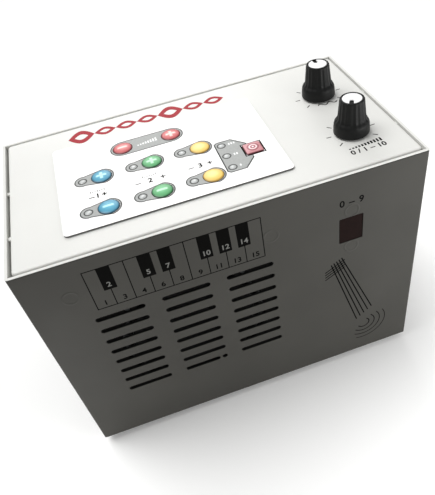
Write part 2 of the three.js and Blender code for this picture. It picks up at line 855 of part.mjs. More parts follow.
function basketWindow(turn) {
  const half = fullTurn / basketWindows * basketWindowShare / 2;
  const outer = rimRadius;
  const inner = basketFloorRadius - basketBand;
  return alongY(new THREE.Shape([
    ...arc(0, 0, outer, turn - half, turn + half, cornerSteps),
    ...arc(0, 0, inner, turn - half, turn + half, cornerSteps).reverse(),
  ]), rimBack + basketBand, floorFront - basketBand);
}

// A strip on the lowest spoke, where the two leads are soldered.
const terminalZ = -(basketFloorRadius + rimInner) / 2;
const terminalFront = (rimBack + floorFront) / 2;

function speakerTerminal() {
  const half = terminalWidth / 2;
  return box(-half, half, terminalFront, terminalFront + terminalDepth,
    terminalZ - terminalThickness / 2, terminalZ + terminalThickness / 2);
}

function speakerBasket() {
  const bowl = turnedY([
    [rimInner, rimFront], [rimRadius, rimFront], [rimRadius, rimBack], [rimInner + basketWall, rimBack],
    [basketFloorRadius + basketWall, floorBack], [basketHole, floorBack], [basketHole, floorFront],
    [basketFloorRadius, floorFront],
  ], fineSteps);
  const windows = [];
  for (let i = 0; i < basketWindows; i += 1) windows.push(basketWindow(fullTurn * i / basketWindows));
  const screws = speakerScrewPlaces.flatMap(([x, z]) => [
    alongY(circle(screwRadius, x, z, fastenerSteps), rimBack - speakerScrewLength, rimBack),
    alongY(circle(screwHeadRadius, x, z, fastenerSteps), rimBack - rimThickness / 2,
      rimBack + screwHeadHeight),
  ]);
  return join([cut(bowl, windows), speakerTerminal(), ...screws]);
}

// The surround is a half roll between the rim and the cone's edge.
function speakerSurround() {
  const middle = coneEdgeRadius + slip + surroundWidth / 2;
  const land = rimFront - surroundThickness;
  const roll = (radius) => arc(middle, land, radius, halfTurn, fullTurn, rollSteps).map((p) => [p.x, p.y]);
  const outer = roll(surroundWidth / 2);
  const inner = roll(surroundWidth / 2 - surroundThickness).reverse();
  const rollEdge = middle + surroundWidth / 2;
  const rollFoot = middle - surroundWidth / 2;
  return turnedY([
    ...outer, [rollEdge + surroundLand, land], [rollEdge + surroundLand, rimFront],
    [rollEdge - surroundThickness, rimFront],
    ...inner, [rollFoot + surroundThickness, rimFront], [rollFoot, rimFront],
  ], fineSteps);
}

const coneFront = rimFront - surroundThickness;
const throatFront = coneFront + coneDepth;

function speakerCone() {
  const coilInner = coneThroatRadius - coilThickness;
  return turnedY([
    [coneEdgeRadius, coneFront], [coneEdgeRadius, coneFront + coneThickness],
    [coneThroatRadius + coneThickness, throatFront + coneThickness],
    [coneThroatRadius, throatFront + coneThickness * 2],
    [coneThroatRadius, throatFront + coilLength], [coilInner, throatFront + coilLength],
    [coilInner, throatFront],
  ], fineSteps);
}

// The dust cap is a shallow dome that lies just in front of the cone's throat.
function speakerDustCap() {
  const coneSlope = coneDepth / (coneEdgeRadius - coneThroatRadius + coilThickness);
  const seat = throatFront - (dustCapRadius - coneThroatRadius + coilThickness) * coneSlope - slip;
  const domeRadius = (dustCapRadius ** 2 + dustCapRise ** 2) / (2 * dustCapRise);
  const spread = Math.asin(dustCapRadius / domeRadius);
  const dome = (radius) => {
    const points = [];
    for (let step = domeSteps; step > 0; step -= 1) {
      const angle = spread * step / domeSteps;
      points.push([radius * Math.sin(angle), seat - dustCapRise + domeRadius - radius * Math.cos(angle)]);
    }
    return [...points, [0, seat - dustCapRise + domeRadius - radius]];
  };
  return turnedY([...dome(domeRadius), ...dome(domeRadius - dustCapThickness).reverse()]);
}

const magnetFront = floorBack + frontPlateThickness;
const magnetBack = magnetFront + magnetThickness;

function speakerFrontPlate() {
  const gap = circle(coneThroatRadius + slip * 2, 0, 0, roundSteps);
  return alongY(withHoles(circle(ironRadius, 0, 0, fineSteps), [gap]), floorBack, magnetFront);
}

function speakerPole() {
  return turnedY([
    [0, floorBack], [poleRadius, floorBack], [poleRadius, magnetBack], [ironRadius, magnetBack],
    [ironRadius, magnetBack + backPlateThickness], [0, magnetBack + backPlateThickness],
  ]);
}

function speakerMagnet() {
  return alongY(withHoles(
    circle(magnetRadius, 0, 0, fineSteps), [circle(magnetInner, 0, 0, roundSteps)]),
    magnetFront, magnetBack);
}

// Places on the main board are shares of its width and depth, sizes are real.
function onBoard([xShare, yShare], width, depth, height) {
  const x = boardX0 + boardWidth * xShare;
  const y = boardY0 + boardDepth * yShare;
  const sunk = boardTop - boardThickness / 2;
  return box(x - width / 2, x + width / 2, y - depth / 2, y + depth / 2, sunk, boardTop + height);
}

const chipShares = [[0.42, 0.4, 4], [0.38, 0.18, 2.6], [0.62, 0.2, 1.2]];
const capacitorShares = [[0.74, 0.2], [0.74, 0.38], [0.74, 0.56]];
const sinkFromLeftShare = 0.05;

// The tail's header has a slit that the keypad's tail drops into.
function tailHeader() {
  const [x, y] = [tailX, front + tailFromFront];
  const half = tailWidth / 2;
  const housing = box(x - half - connectorWidth / 2, x + half + connectorWidth / 2,
    y - connectorWidth / 2, y + connectorWidth / 2,
    boardTop - boardThickness / 2, boardTop + connectorHeight);
  const slit = box(x - half - slip, x + half + slip,
    y - circuitThickness / 2 - slip, y + circuitThickness / 2 + slip,
    boardTop + connectorHeight / 2 - slip, boardTop + connectorHeight + overrun);
  return housing.subtract(slit);
}

// The board with what is soldered to it, on four standoffs with a screw in each.
function mainBoard() {
  const board = box(boardX0, boardX0 + boardWidth, boardY0, boardY0 + boardDepth,
    boardTop - boardThickness, boardTop);
  const chips = chipShares.map(([x, y, lengthShare]) => (
    onBoard([x, y], chipWidth * lengthShare, chipWidth, chipHeight)));
  const headers = Object.values(headerShares).map((place) => (
    onBoard(place, connectorWidth * 2, connectorWidth, connectorHeight)));
  const capacitors = capacitorShares.map(([x, y]) => alongZ(
    circle(capacitorRadius, boardX0 + boardWidth * x, boardY0 + boardDepth * y, smallSteps),
    boardTop - boardThickness / 2, boardTop + capacitorHeight));
  const standoffs = boardScrewPlaces.flatMap(([x, y]) => [
    alongZ(circle(spacerRadius, x, y), baseTop, boardTop - boardThickness / 2),
    alongZ(circle(screwHeadRadius, x, y), boardTop - boardThickness / 2, boardTop + screwHeadHeight),
  ]);
  return join([board, ...chips, ...headers, ...capacitors, ...standoffs, tailHeader()]);
}

function heatSink() {
  const y0 = boardY0 + boardDepth / 2;
  const x0 = boardX0 + boardWidth * sinkFromLeftShare;
  const span = (sinkFins - 1) * sinkFinPitch + sinkFinThickness;
  const base = box(x0, x0 + sinkBase, y0 - span / 2, y0 + span / 2, boardTop, boardTop + sinkHeight);
  const fins = [];
  for (let i = 0; i < sinkFins; i += 1) {
    const y = y0 - span / 2 + i * sinkFinPitch;
    fins.push(box(x0 + sinkBase / 2, x0 + sinkBase + sinkFinLength, y, y + sinkFinThickness,
      boardTop, boardTop + sinkHeight));
  }
  return join([base, ...fins]);
}

// Transformer, with its origin on the base plate under the middle of the core.
const coreLeg = coreLimb * 2;
const coreWindow = (coreWidth - coreLimb * 2 - coreLeg) / 2;

function transformerCore() {
  const half = coreWidth / 2;
  const windowAt = (x) => box(x, x + coreWindow, -coreStack, coreStack, coreLimb, coreHeight - coreLimb);
  return cut(box(-half, half, -coreStack / 2, coreStack / 2, 0, coreHeight), [
    windowAt(-half + coreLimb), windowAt(coreLeg / 2)]);
}

function transformerWinding() {
  const x = coreLeg / 2 + coreWindow - slip;
  const y = coreStack / 2 + windingReach;
  const outer = alongZ(roundedRectangle(-x, -y, x, y, windingReach / 2),
    coreLimb + slip, coreHeight - coreLimb - slip);
  const leg = box(-coreLeg / 2 - slip, coreLeg / 2 + slip, -coreStack / 2 - slip, coreStack / 2 + slip,
    0, coreHeight);
  return outer.subtract(leg);
}

// The strap's feet are bolted through the base plate.
function transformerStrap() {
  const inner = coreWidth / 2;
  const outer = inner + strapThickness;
  const reach = outer + strapFoot;
  const outline = polygon([
    [-reach, 0], [-inner, 0], [-inner, coreHeight], [inner, coreHeight], [inner, 0], [reach, 0],
    [reach, strapThickness], [outer, strapThickness], [outer, coreHeight + strapThickness],
    [-outer, coreHeight + strapThickness], [-outer, strapThickness], [-reach, strapThickness],
  ]);
  const bolts = [-strapScrewX, strapScrewX].map((x) => (
    move(bolt(-basePlateThickness, strapThickness), x, 0, 0)));
  return join([alongY(outline, -strapWidth / 2, strapWidth / 2), ...bolts]);
}

// Mains inlet: a flanged body with a well for a two-pole lead and two moulded-in pins.
function mainsInlet() {
  const flange = roundedRectangle(
    inletX - inletFlangeWidth / 2, socketsZ - inletFlangeHeight / 2,
    inletX + inletFlangeWidth / 2, socketsZ + inletFlangeHeight / 2, inletCorner * 2);
  const face = back + inletFlangeThickness;
  const wellFloor = face - inletWellDepth;
  const half = pinPitch / 2;
  const waist = inletWellWaist / 2;
  const well = join([
    circle(inletWellRadius, inletX - half, socketsZ, roundSteps),
    circle(inletWellRadius, inletX + half, socketsZ, roundSteps),
    rectangle(inletX - half, socketsZ - waist, inletX + half, socketsZ + waist),
  ].map((shape) => alongY(shape, wellFloor, face + overrun)));
  const pins = [-half, half].map((x) => alongY(
    circle(pinRadius, inletX + x, socketsZ), back - inletBodyDepth - pinTail, wellFloor + pinReach));
  const body = join([
    alongY(flange, back, face),
    alongY(inletBodyOutline(0), back - inletBodyDepth, face),
  ]);
  return join([body.subtract(well), ...pins]);
}

// Line-out socket for a quarter-inch plug, in line with its header on the main board, and
// held by a round nut outside.
function lineOutJack() {
  const inside = back - sheet;
  const half = jackBodyWidth / 2;
  const body = alongY(
    roundedRectangle(jackX - half, socketsZ - half, jackX + half, socketsZ + half, inletCorner),
    inside - jackBodyDepth, inside);
  const bush = alongY(circle(jackBushRadius, jackX, socketsZ, roundSteps), inside, back + jackBushReach);
  const bore = alongY(circle(jackBoreRadius, jackX, socketsZ, roundSteps),
    back + jackBushReach - jackBoreDepth, back + jackBushReach + overrun);
  return join([body, bush]).subtract(bore);
}

function lineOutNut() {
  return alongY(withHoles(circle(jackNutRadius, jackX, socketsZ, roundSteps), [
    circle(jackBushRadius + slip, jackX, socketsZ, roundSteps)]), back, back + jackNutThickness);
}

// Flat leads run in one easy bend, straight out of each end, and stop just short of both.
// The section's width lies across the bend, and its edges follow the ends' directions.
function flatLead(cores, start, startWay, end, endWay, reach) {
  const from = new THREE.Vector3(...start);
  const to = new THREE.Vector3(...end);
  const path = new THREE.CubicBezierCurve3(
    from, from.clone().addScaledVector(new THREE.Vector3(...startWay), reach),
    to.clone().addScaledVector(new THREE.Vector3(...endWay), reach), to);
  const [w, t] = [cores * wirePitch / 2, wireThickness / 2];
  return toSolid(new THREE.ExtrudeGeometry(rectangle(-t, -w, t, w), {
    steps: wireSteps, extrudePath: path, bevelEnabled: false,
  }));
}

const backwards = [0, 1, 0];
const forwards = [0, -1, 0];
const upwards = [0, 0, 1];
const downwards = [0, 0, -1];
const leftwards = [-1, 0, 0];

function headerTop(header) {
  const [x, y] = headerShares[header];
  return [boardX0 + boardWidth * x, boardY0 + boardDepth * y, boardTop + connectorHeight + slip];
}

function speakerLead() {
  const start = [speakerX, baffleBack + terminalFront + terminalDepth + slip, speakerZ + terminalZ];
  return flatLead(pairCores, start, backwards, headerTop('speaker'), upwards, wireReach / 2);
}

function potLead(header, fromFront, radius, height) {
  const x = knobX - radius - potLugLength - slip;
  const z = plateUnder - height / 2 + potLugThickness / 2;
  return flatLead(potCores, [x, front + fromFront, z], leftwards, headerTop(header), upwards, wireReach);
}

function mainsLead() {
  const start = [inletX, back - inletBodyDepth - pinTail - slip, socketsZ];
  const switchUnder = plateUnder - volumePotHeight - volumeSwitchHeight;
  const end = [knobX, front + volumeFromFront, switchUnder - slip];
  return flatLead(mainsCores, start, forwards, end, downwards, wireReach);
}

function transformerLead() {
  const start = [transformerX, transformerY - coreStack / 2 - windingReach - slip, baseTop + coreHeight / 2];
  return flatLead(pairCores, start, forwards, headerTop('transformer'), upwards, wireReach);
}

function lineOutLead() {
  const start = [jackX, back - sheet - jackBodyDepth - slip, socketsZ];
  return flatLead(pairCores, start, forwards, headerTop('line_out'), upwards, wireShortReach);
}

function displayLead() {
  const start = [windowX, displayBoardBack + slip, windowZ];
  return flatLead(displayCores, start, backwards, headerTop('display'), upwards, wireReach);
}

// Assembly.
const offWhite = 0xf2f2ee;
const warmGrey = 0x6e6d68;
const nearBlack = 0x1c1c1c;
const steel = 0xb8bcc0;
const boardGreen = 0x2f6b45;
const paper = 0x2a2826;

addPart(tanpura, 'cabinet_shell', cabinetShell(), warmGrey, 0.55);
addPart(tanpura, 'top_plate', topPlate(), offWhite, 0.5);
addPart(tanpura, 'base_plate', basePlate(), warmGrey, 0.55);
for (const [place, [x, y]] of Object.entries(footPlaces)) {
  const corner = addGroup(tanpura, x, y, 0);
  addPart(corner, `foot_${place}`, foot(), nearBlack, 0.9);
  addPart(corner, `foot_screw_${place}`, footScrew(), steel, 0.35, 1);
}

addPart(tanpura, 'keypad_overlay', keypadOverlay(), 0xfdfdfb, 0.4);
addPart(tanpura, 'keypad_circuit', keypadCircuit(), 0x9aa0a4, 0.5);
for (const [name, [x, y], color] of roundKeys) {
  addPart(addGroup(tanpura, x, y, plateTop), name, roundKey(), color, 0.35);
}
addPart(addGroup(tanpura, modeKeyX, modeKeyY, plateTop), 'key_mode', modeKey(), 0xb85a5e, 0.35);

function addControl(name, fromFront, pointerTurn, pot) {
  const control = addGroup(tanpura, knobX, front + fromFront, plateTop);
  const turning = addGroup(control, 0, 0, 0, pointerTurn);
  addPart(turning, `${name}_knob`, knob(), nearBlack, 0.45);
  addPart(turning, `${name}_knob_cap`, knobCap(), offWhite, 0.35);
  addPart(turning, `${name}_shaft`, potShaft(), steel, 0.3, 1);
  addPart(control, `${name}_pot`, pot, 0x8d9096, 0.4, 0.8);
  addPart(control, `${name}_pot_nut`, potNut(), steel, 0.35, 1);
}

addControl('volume', volumeFromFront, -quarterTurn / 3, volumePot());
addControl('tone', toneFromFront, halfTurn, potBody(tonePotRadius, tonePotHeight));

addPart(tanpura, 'display_filter', displayFilter(), 0x4a1a1c, 0.15);
addPart(tanpura, 'display_digit', displayDigit(), 0x2c2c2e, 0.4);
addPart(tanpura, 'display_board', displayBoard(), boardGreen, 0.6);

addPart(tanpura, 'speaker_baffle', speakerBaffle(), 0x7a5a3c, 0.85);
addPart(tanpura, 'baffle_clip', baffleClip(), steel, 0.4, 1);
const speaker = addGroup(tanpura, speakerX, baffleBack, speakerZ);
addPart(speaker, 'speaker_gasket', speakerGasket(), 0x3a3430, 0.95);
addPart(speaker, 'speaker_basket', speakerBasket(), 0x8b8f92, 0.4, 1);
addPart(speaker, 'speaker_surround', speakerSurround(), 0x202020, 0.9);
addPart(speaker, 'speaker_cone', speakerCone(), paper, 0.95);
addPart(speaker, 'speaker_dust_cap', speakerDustCap(), paper, 0.9);
addPart(speaker, 'speaker_magnet', speakerMagnet(), 0x3c3c3e, 0.7);
addPart(speaker, 'speaker_front_plate', speakerFrontPlate(), steel, 0.4, 1);
addPart(speaker, 'speaker_pole', speakerPole(), steel, 0.4, 1);

addPart(tanpura, 'main_board', mainBoard(), boardGreen, 0.6);
addPart(tanpura, 'heat_sink', heatSink(), 0xa4a8ac, 0.45, 1);
const transformer = addGroup(tanpura, transformerX, transformerY, baseTop);
addPart(transformer, 'transformer_core', transformerCore(), 0x5c5e60, 0.6, 0.8);
addPart(transformer, 'transformer_winding', transformerWinding(), 0xc9a23c, 0.6);
addPart(transformer, 'transformer_strap', transformerStrap(), steel, 0.4, 1);

addPart(tanpura, 'mains_inlet', mainsInlet(), nearBlack, 0.6);
addPart(tanpura, 'line_out_jack', lineOutJack(), 0x26262a, 0.6);
addPart(tanpura, 'line_out_nut', lineOutNut(), steel, 0.3, 1);

const leadGrey = 0x9a9ca0;
addPart(tanpura, 'speaker_lead', speakerLead(), leadGrey, 0.5);
addPart(tanpura, 'volume_lead', potLead('volume', volumeFromFront, volumePotRadius, volumePotHeight),
  leadGrey, 0.5);
addPart(tanpura, 'tone_lead', potLead('tone', toneFromFront, tonePotRadius, tonePotHeight), leadGrey, 0.5);
addPart(tanpura, 'mains_lead', mainsLead(), leadGrey, 0.5);
addPart(tanpura, 'transformer_lead', transformerLead(), leadGrey, 0.5);
addPart(tanpura, 'line_out_lead', lineOutLead(), leadGrey, 0.5);
addPart(tanpura, 'display_lead', displayLead(), leadGrey, 0.5);

export default tanpura;
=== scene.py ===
# %% [markdown]
# # An electronic tanpura
# The real thing is a small box of folded sheet metal that plays a drone. A keypad and two
# knobs sit on its top, and its front has a slotted loudspeaker grille and a one-digit window.
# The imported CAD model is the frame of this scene: every size and every joint comes from it.
# Here each visible piece gets its finer edges, its prints and its finish.

# %% Load the frame
import math

import bmesh
import bpy
from mathutils import Matrix, Vector


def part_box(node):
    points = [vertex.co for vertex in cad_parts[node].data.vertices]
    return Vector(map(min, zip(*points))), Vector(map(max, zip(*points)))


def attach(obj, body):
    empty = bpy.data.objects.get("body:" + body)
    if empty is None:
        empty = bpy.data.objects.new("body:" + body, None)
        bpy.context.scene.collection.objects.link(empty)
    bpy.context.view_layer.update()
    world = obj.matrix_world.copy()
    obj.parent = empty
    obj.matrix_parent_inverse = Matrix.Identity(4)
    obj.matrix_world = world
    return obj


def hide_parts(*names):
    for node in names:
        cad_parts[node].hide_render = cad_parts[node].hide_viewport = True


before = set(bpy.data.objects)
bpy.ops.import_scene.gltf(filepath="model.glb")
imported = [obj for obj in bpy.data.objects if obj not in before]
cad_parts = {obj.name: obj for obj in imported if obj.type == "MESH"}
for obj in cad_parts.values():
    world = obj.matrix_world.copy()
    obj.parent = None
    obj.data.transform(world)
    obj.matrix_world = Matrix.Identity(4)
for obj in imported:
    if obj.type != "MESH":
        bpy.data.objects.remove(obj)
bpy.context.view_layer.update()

# %% [markdown]
# ## Sizes in millimetres
# A maker thinks in millimetres, and Blender's unit is the metre. Shapes are drawn in
# millimetres and shrunk once, when they become a piece. The places of edges, keys and knobs are
# read from the frame, so that a change in the CAD model carries over by itself.

# %% Read the cabinet's edges
MM = 0.001


def corners(node):
    """The low and the high corner of a CAD node, in millimetres."""
    low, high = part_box(node)
    return low / MM, high / MM


def middle(node):
    """The middle of a CAD node, in millimetres."""
    low, high = corners(node)
    return (low + high) / 2


(left, front, bottom), (right, back, lip) = corners("cabinet_shell")
width, depth = right - left, back - front
box_middle = ((left + right) / 2, (front + back) / 2)
plate_top = corners("top_plate")[1].z
film_top = corners("keypad_overlay")[1].z
print("cabinet:", round(width, 1), "x", round(depth, 1), "x", round(lip - bottom, 1), "mm")


def on_top(across, deep):
    """A place on the top, measured from the left wall and from the front wall."""
    return left + across, front + deep


def on_front(across, down):
    """A place on the front, measured from the left wall and down from the lip."""
    return left + across, lip - down


# %% [markdown]
# ## Shader sums written as plain sums
# A finish is built from nodes. Clicking them together hides the idea, so a small class wraps a
# socket and lets Python's own signs add the Math nodes: `1 - mask` makes a Subtract node. Any
# other node comes from one method, which takes its type, its settings and its inputs.


# %% A value that varies over a surface
class Field:
    """A socket that takes part in sums. Each sign adds one Math node."""

    def __init__(self, finish, socket):
        self.finish, self.socket = finish, socket

    def math(self, operation, *terms):
        return self.finish.node("ShaderNodeMath", {"operation": operation}, dict(enumerate(terms)))

    def __add__(self, other):
        return self.math("ADD", self, other)

    def __sub__(self, other):
        return self.math("SUBTRACT", self, other)

    def __rsub__(self, other):
        return self.math("SUBTRACT", other, self)

    def __mul__(self, other):
        return self.math("MULTIPLY", self, other)

    __radd__, __rmul__ = __add__, __mul__

    def __abs__(self):
        return self.math("ABSOLUTE", self)

    def least(self, other):
        return self.math("MINIMUM", self, other)

    def most(self, other):
        return self.math("MAXIMUM", self, other)

    def rises(self, low, high):
        """0 below low, 1 above high, and a soft step between them."""
        settings = {"interpolation_type": "SMOOTHSTEP"}
        return self.finish.node(
            "ShaderNodeMapRange", settings, {"Value": self, "From Min": low, "From Max": high})

    def near(self, value, reach, soft):
        """1 close to a value, and 0 beyond its reach."""
        return 1 - abs(self - value).rises(reach, reach + soft)


def length(*parts):
    """The length of a line whose parts are given, one Field for each axis."""
    squares = parts[0] * parts[0]
    for part in parts[1:]:
        squares = squares + part * part
    return squares.math("SQRT", squares)


# %% A finish is one material
def ink(red, green, blue):
    """A colour as a screen shows it, from 0 to 255, as the linear light that Blender wants."""
    shares = [c / 255 for c in (red, green, blue)]
    return [s / 12.92 if s < 0.04045 else ((s + 0.055) / 1.055) ** 2.4 for s in shares] + [1.0]


class Finish:
    """A material with one surface shader. What is the same all over goes on its own sockets."""

    def __init__(self, name, **uniform):
        self.material = bpy.data.materials.new(name)
        self.material.use_nodes = True
        self.tree = self.material.node_tree
        self.tree.nodes.clear()
        self.shader = self.tree.nodes.new("ShaderNodeBsdfPrincipled")
        end = self.tree.nodes.new("ShaderNodeOutputMaterial")
        self.tree.links.new(self.shader.outputs[0], end.inputs[0])
        for word, value in uniform.items():
            self.give(word.replace("_", " ").title(), value)

    def feed(self, socket, value):
        if isinstance(value, Field):
            self.tree.links.new(value.socket, socket)
        else:
            socket.default_value = value

    def give(self, socket, value):
        """Sets one socket of the surface shader."""
        names = {"Specular": "Specular IOR Level"}
        self.feed(self.shader.inputs[names.get(socket, socket)], value)

    def node(self, kind, settings, inputs, output=0):
        """Adds a node: its settings come first, then its inputs. Gives one of its outputs."""
        made = self.tree.nodes.new(kind)
        for word, value in settings.items():
            setattr(made, word, value)
        for word, value in inputs.items():
            self.feed(made.inputs[word], value)
        return Field(self, made.outputs[output])

    def place(self, centre=(0, 0, 0)):
        """The place on the piece in millimetres, counted from a centre."""
        spot = self.node("ShaderNodeTexCoord", {}, {}, "Object")
        inputs = {"Vector": spot, "Scale": (1 / MM,) * 3, "Location": -Vector(centre)}
        return self.node("ShaderNodeMapping", {}, inputs)

    def axes(self, centre=(0, 0, 0)):
        """The same place as three separate values."""
        spot = self.place(centre)
        return [self.node("ShaderNodeSeparateXYZ", {}, {0: spot}, n) for n in range(3)]

    def grain(self, per_mm, detail=2.0, rough=0.5, stretch=(1, 1, 1)):
        """Cloudy noise from 0 to 1. Its scale is in clouds a millimetre."""
        spot = self.node("ShaderNodeMapping", {}, {"Vector": self.place(), "Scale": stretch})
        inputs = {"Vector": spot, "Scale": per_mm, "Detail": detail, "Roughness": rough}
        return self.node("ShaderNodeTexNoise", {}, inputs)

    def blend(self, mask, under, over):
        """One colour where the mask is 0 and the other where it is 1."""
        return self.node("ShaderNodeMix", {"data_type": "RGBA"}, {0: mask, 6: under, 7: over}, 2)

    def clouded(self, colour, drift, per_mm=0.02):
        """A colour that drifts a little lighter and darker in slow clouds."""
        darker, lighter = [[c * share for c in colour[:3]] + [1] for share in (1 - drift, 1 + drift)]
        return self.blend(self.grain(per_mm, 3.0).rises(0.3, 0.7), darker, lighter)

    def relief(self, height, deep, under=None):
        """Raises the surface where the height is 1, by a depth in millimetres."""
        inputs = {"Height": height, "Distance": deep * MM}
        if under:
            inputs["Normal"] = under
        return self.node("ShaderNodeBump", {}, inputs)


def dress(finish, *nodes):
    """Puts a finish on CAD nodes whose shape stays as it is."""
    for node in nodes:
        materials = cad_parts[node].data.materials
        materials.clear()
        materials.append(finish.material)


print("ink(128, 128, 128) is", round(ink(128, 128, 128)[0], 3), "of full light")

# %% [markdown]
# ## Sheet, film and plate outlines
# Most of this object is a rounded rectangle that is carried through a few heights: the folded
# wrap, the plate with its bent edge, the keys' rims. One helper starts from a circle, pulls its
# points out to four corners and extrudes the ring from station to station. A station is an
# inset from the outline and a height.


# %% Carry a rounded rectangle through stations
LEAST_CURVE = 0.05


def shares(steps):
    """Even steps from 0 to 1."""
    return [n / steps for n in range(steps + 1)]


def carry(size, corner, stations, at=(0.0, 0.0), arc=5, closed=False):
    """Extrudes a rounded rectangle from station to station, and caps or closes it."""

    def spot(sign, way, inset):
        curve = max(corner - inset, LEAST_CURVE)
        return [at[n] + sign[n] * (size[n] / 2 - inset - curve) + way[n] * curve for n in (0, 1)]

    shape = bmesh.new()
    ring = bmesh.ops.create_circle(shape, segments=4 * (arc + 1), radius=1)["verts"]
    aims = {}
    inset, height = stations[0]
    for n, point in enumerate(ring):
        quarter, step = divmod(n, arc + 1)
        turn = math.pi / 2 * (quarter + step / arc)
        sign = ((1, 1), (-1, 1), (-1, -1), (1, -1))[quarter]
        aims[point] = sign, (math.cos(turn), math.sin(turn))
        point.co = (*spot(*aims[point], inset), height)
    first = edges = shape.edges[:]
    for inset, height in stations[1:]:
        before = {tuple(point.co): point for edge in edges for point in edge.verts}
        made = bmesh.ops.extrude_edge_only(shape, edges=edges)["geom"]
        edges = [item for item in made if isinstance(item, bmesh.types.BMEdge) and item.is_boundary]
        for point in [item for item in made if isinstance(item, bmesh.types.BMVert)]:
            aims[point] = aims[before[tuple(point.co)]]
            point.co = (*spot(*aims[point], inset), height)
    if closed:
        bmesh.ops.bridge_loops(shape, edges=first + edges)
    else:
        for loop in (first, edges):
            bmesh.ops.edgeloop_fill(shape, edges=loop)
    return shape


# %% Turn, move and join shapes
def turned(profile, steps=64, at=(0.0, 0.0)):
    """Spins a profile of radius and height round an upright line."""
    shape = bmesh.new()
    points = [shape.verts.new((radius, 0, height)) for radius, height in profile]
    edges = [shape.edges.new(pair) for pair in zip(points, points[1:])]
    bmesh.ops.spin(
        shape, geom=points + edges, cent=(0, 0, 0), axis=(0, 0, 1),
        angle=math.tau, steps=steps, use_merge=True)
    bmesh.ops.remove_doubles(shape, verts=shape.verts, dist=0.001)
    return moved(shape, (*at, 0))


def pin(radius, low, high, at=(0.0, 0.0)):
    """An upright round rod, mostly used to press a hole."""
    return turned([(0, low), (radius, low), (radius, high), (0, high)], 40, at)


def moved(shape, way):
    """Moves a shape, in millimetres."""
    bmesh.ops.translate(shape, verts=shape.verts, vec=way)
    return shape


def as_mesh(name, shape):
    """A mesh with a shape's faces. The shape is used up."""
    mesh = bpy.data.meshes.new(name)
    shape.to_mesh(mesh)
    shape.free()
    return mesh


def joined(*shapes):
    """Puts several shapes into one."""
    whole = bmesh.new()
    for shape in shapes:
        mesh = as_mesh("part", shape)
        whole.from_mesh(mesh)
        bpy.data.meshes.remove(mesh)
    return whole


def set_out(make, places):
    """One shape for each place."""
    return joined(*[moved(make(), (*place, 0)) for place in places])


def stood_up(shape, wall, backwards=False):
    """Stands a flat shape up, so that its upper side faces out of the front or back wall."""
    bmesh.ops.rotate(shape, verts=shape.verts, matrix=Matrix.Rotation(math.pi / 2, 3, "X"))
    if backwards:
        bmesh.ops.rotate(shape, verts=shape.verts, matrix=Matrix.Rotation(math.pi, 3, "Z"))
    return moved(shape, (0, wall, 0))


# %% Cut one shape out of another
def shown(name, data):
    """Makes an object of some data and links it to the scene."""
    made = bpy.data.objects.new(name, data)
    bpy.context.scene.collection.objects.link(made)
    return made


def settled(maker):
    """The mesh that an object shows, with its modifiers applied, as a shape."""
    seen = maker.evaluated_get(bpy.context.evaluated_depsgraph_get())
    mesh = bpy.data.meshes.new_from_object(seen)
    shape = bmesh.new()
    shape.from_mesh(mesh)
    return shape


def cut(blank, *cutters):
    """Takes the cutters out of the blank. All are closed shapes."""
    for cutter in cutters:
        makers = []
        for shape in (blank, cutter):
            bmesh.ops.recalc_face_normals(shape, faces=shape.faces)
            makers.append(shown("closed", as_mesh("closed", shape)))
        press = makers[0].modifiers.new("press", "BOOLEAN")
        press.operation, press.solver, press.object = "DIFFERENCE", "EXACT", makers[1]
        blank = settled(makers[0])
        for maker in makers:
            bpy.data.objects.remove(maker)
    return blank


# %% Turn a shape into a piece
def piece(name, shape, finish, body="cabinet", stands_for=(), crease=32):
    """Shrinks a shape to metres, names it, finishes it and lets it ride on a CAD body.

    Weighted normals keep large flat faces evenly shaded right up to their rounded edges.
    """
    bmesh.ops.recalc_face_normals(shape, faces=shape.faces)
    bmesh.ops.scale(shape, verts=shape.verts, vec=(MM, MM, MM))
    mesh = as_mesh(name, shape)
    mesh.shade_smooth()
    mesh.set_sharp_from_angle(angle=math.radians(crease))
    mesh.materials.append(finish.material)
    made = shown(name, mesh)
    made.modifiers.new("even_shading", "WEIGHTED_NORMAL").keep_sharp = True
    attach(made, body)
    if stands_for:
        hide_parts(*stands_for)
    print(name, "has", len(mesh.polygons), "faces")
    return made


# %% [markdown]
# ## Camera and light
# The camera looks down from above the left half of the box and is rolled by ten degrees. Its
# place was worked out from the box's corners. A wide soft sun from the upper left and a pale
# world leave the top almost white and the knobs with a short soft shadow. A weak sun low behind
# the box and a panel above its back put a broad sheen on the plate. Two more panels, to the right
# and low at the left, put a slow gradient on the grey front.

# %% Set up the camera
CAMERA_PLACE = Vector((-38.751, -276.095, 348.834))
HEADING, TILT, ROLL = -10.69564, 45.2187, -10.28099
camera_data = bpy.data.cameras.new("photo_camera")
camera_data.lens, camera_data.sensor_width = 39.727, 36
camera_data.shift_x, camera_data.shift_y = -0.04262, 0.01547
camera_data.clip_start, camera_data.clip_end = 0.01, 20
camera = shown("photo_camera", camera_data)
stance = Matrix.Translation(CAMERA_PLACE * MM)
for degrees, axis in ((HEADING, "Z"), (TILT, "X"), (ROLL, "Z")):
    stance = stance @ Matrix.Rotation(math.radians(degrees), 4, axis)
camera.matrix_world = stance
bpy.context.scene.camera = camera

# %% Set up the studio
WHITE, WORLD_LIGHT, FLOOR_HALF = (1.0, 1.0, 1.0, 1.0), 0.46, 6000 * MM
bpy.context.scene.view_settings.view_transform = "Standard"
world = bpy.data.worlds.new("pale_room")
bpy.context.scene.world = world
world.use_nodes = True
room = world.node_tree.nodes["Background"].inputs
room["Color"].default_value, room["Strength"].default_value = WHITE, WORLD_LIGHT


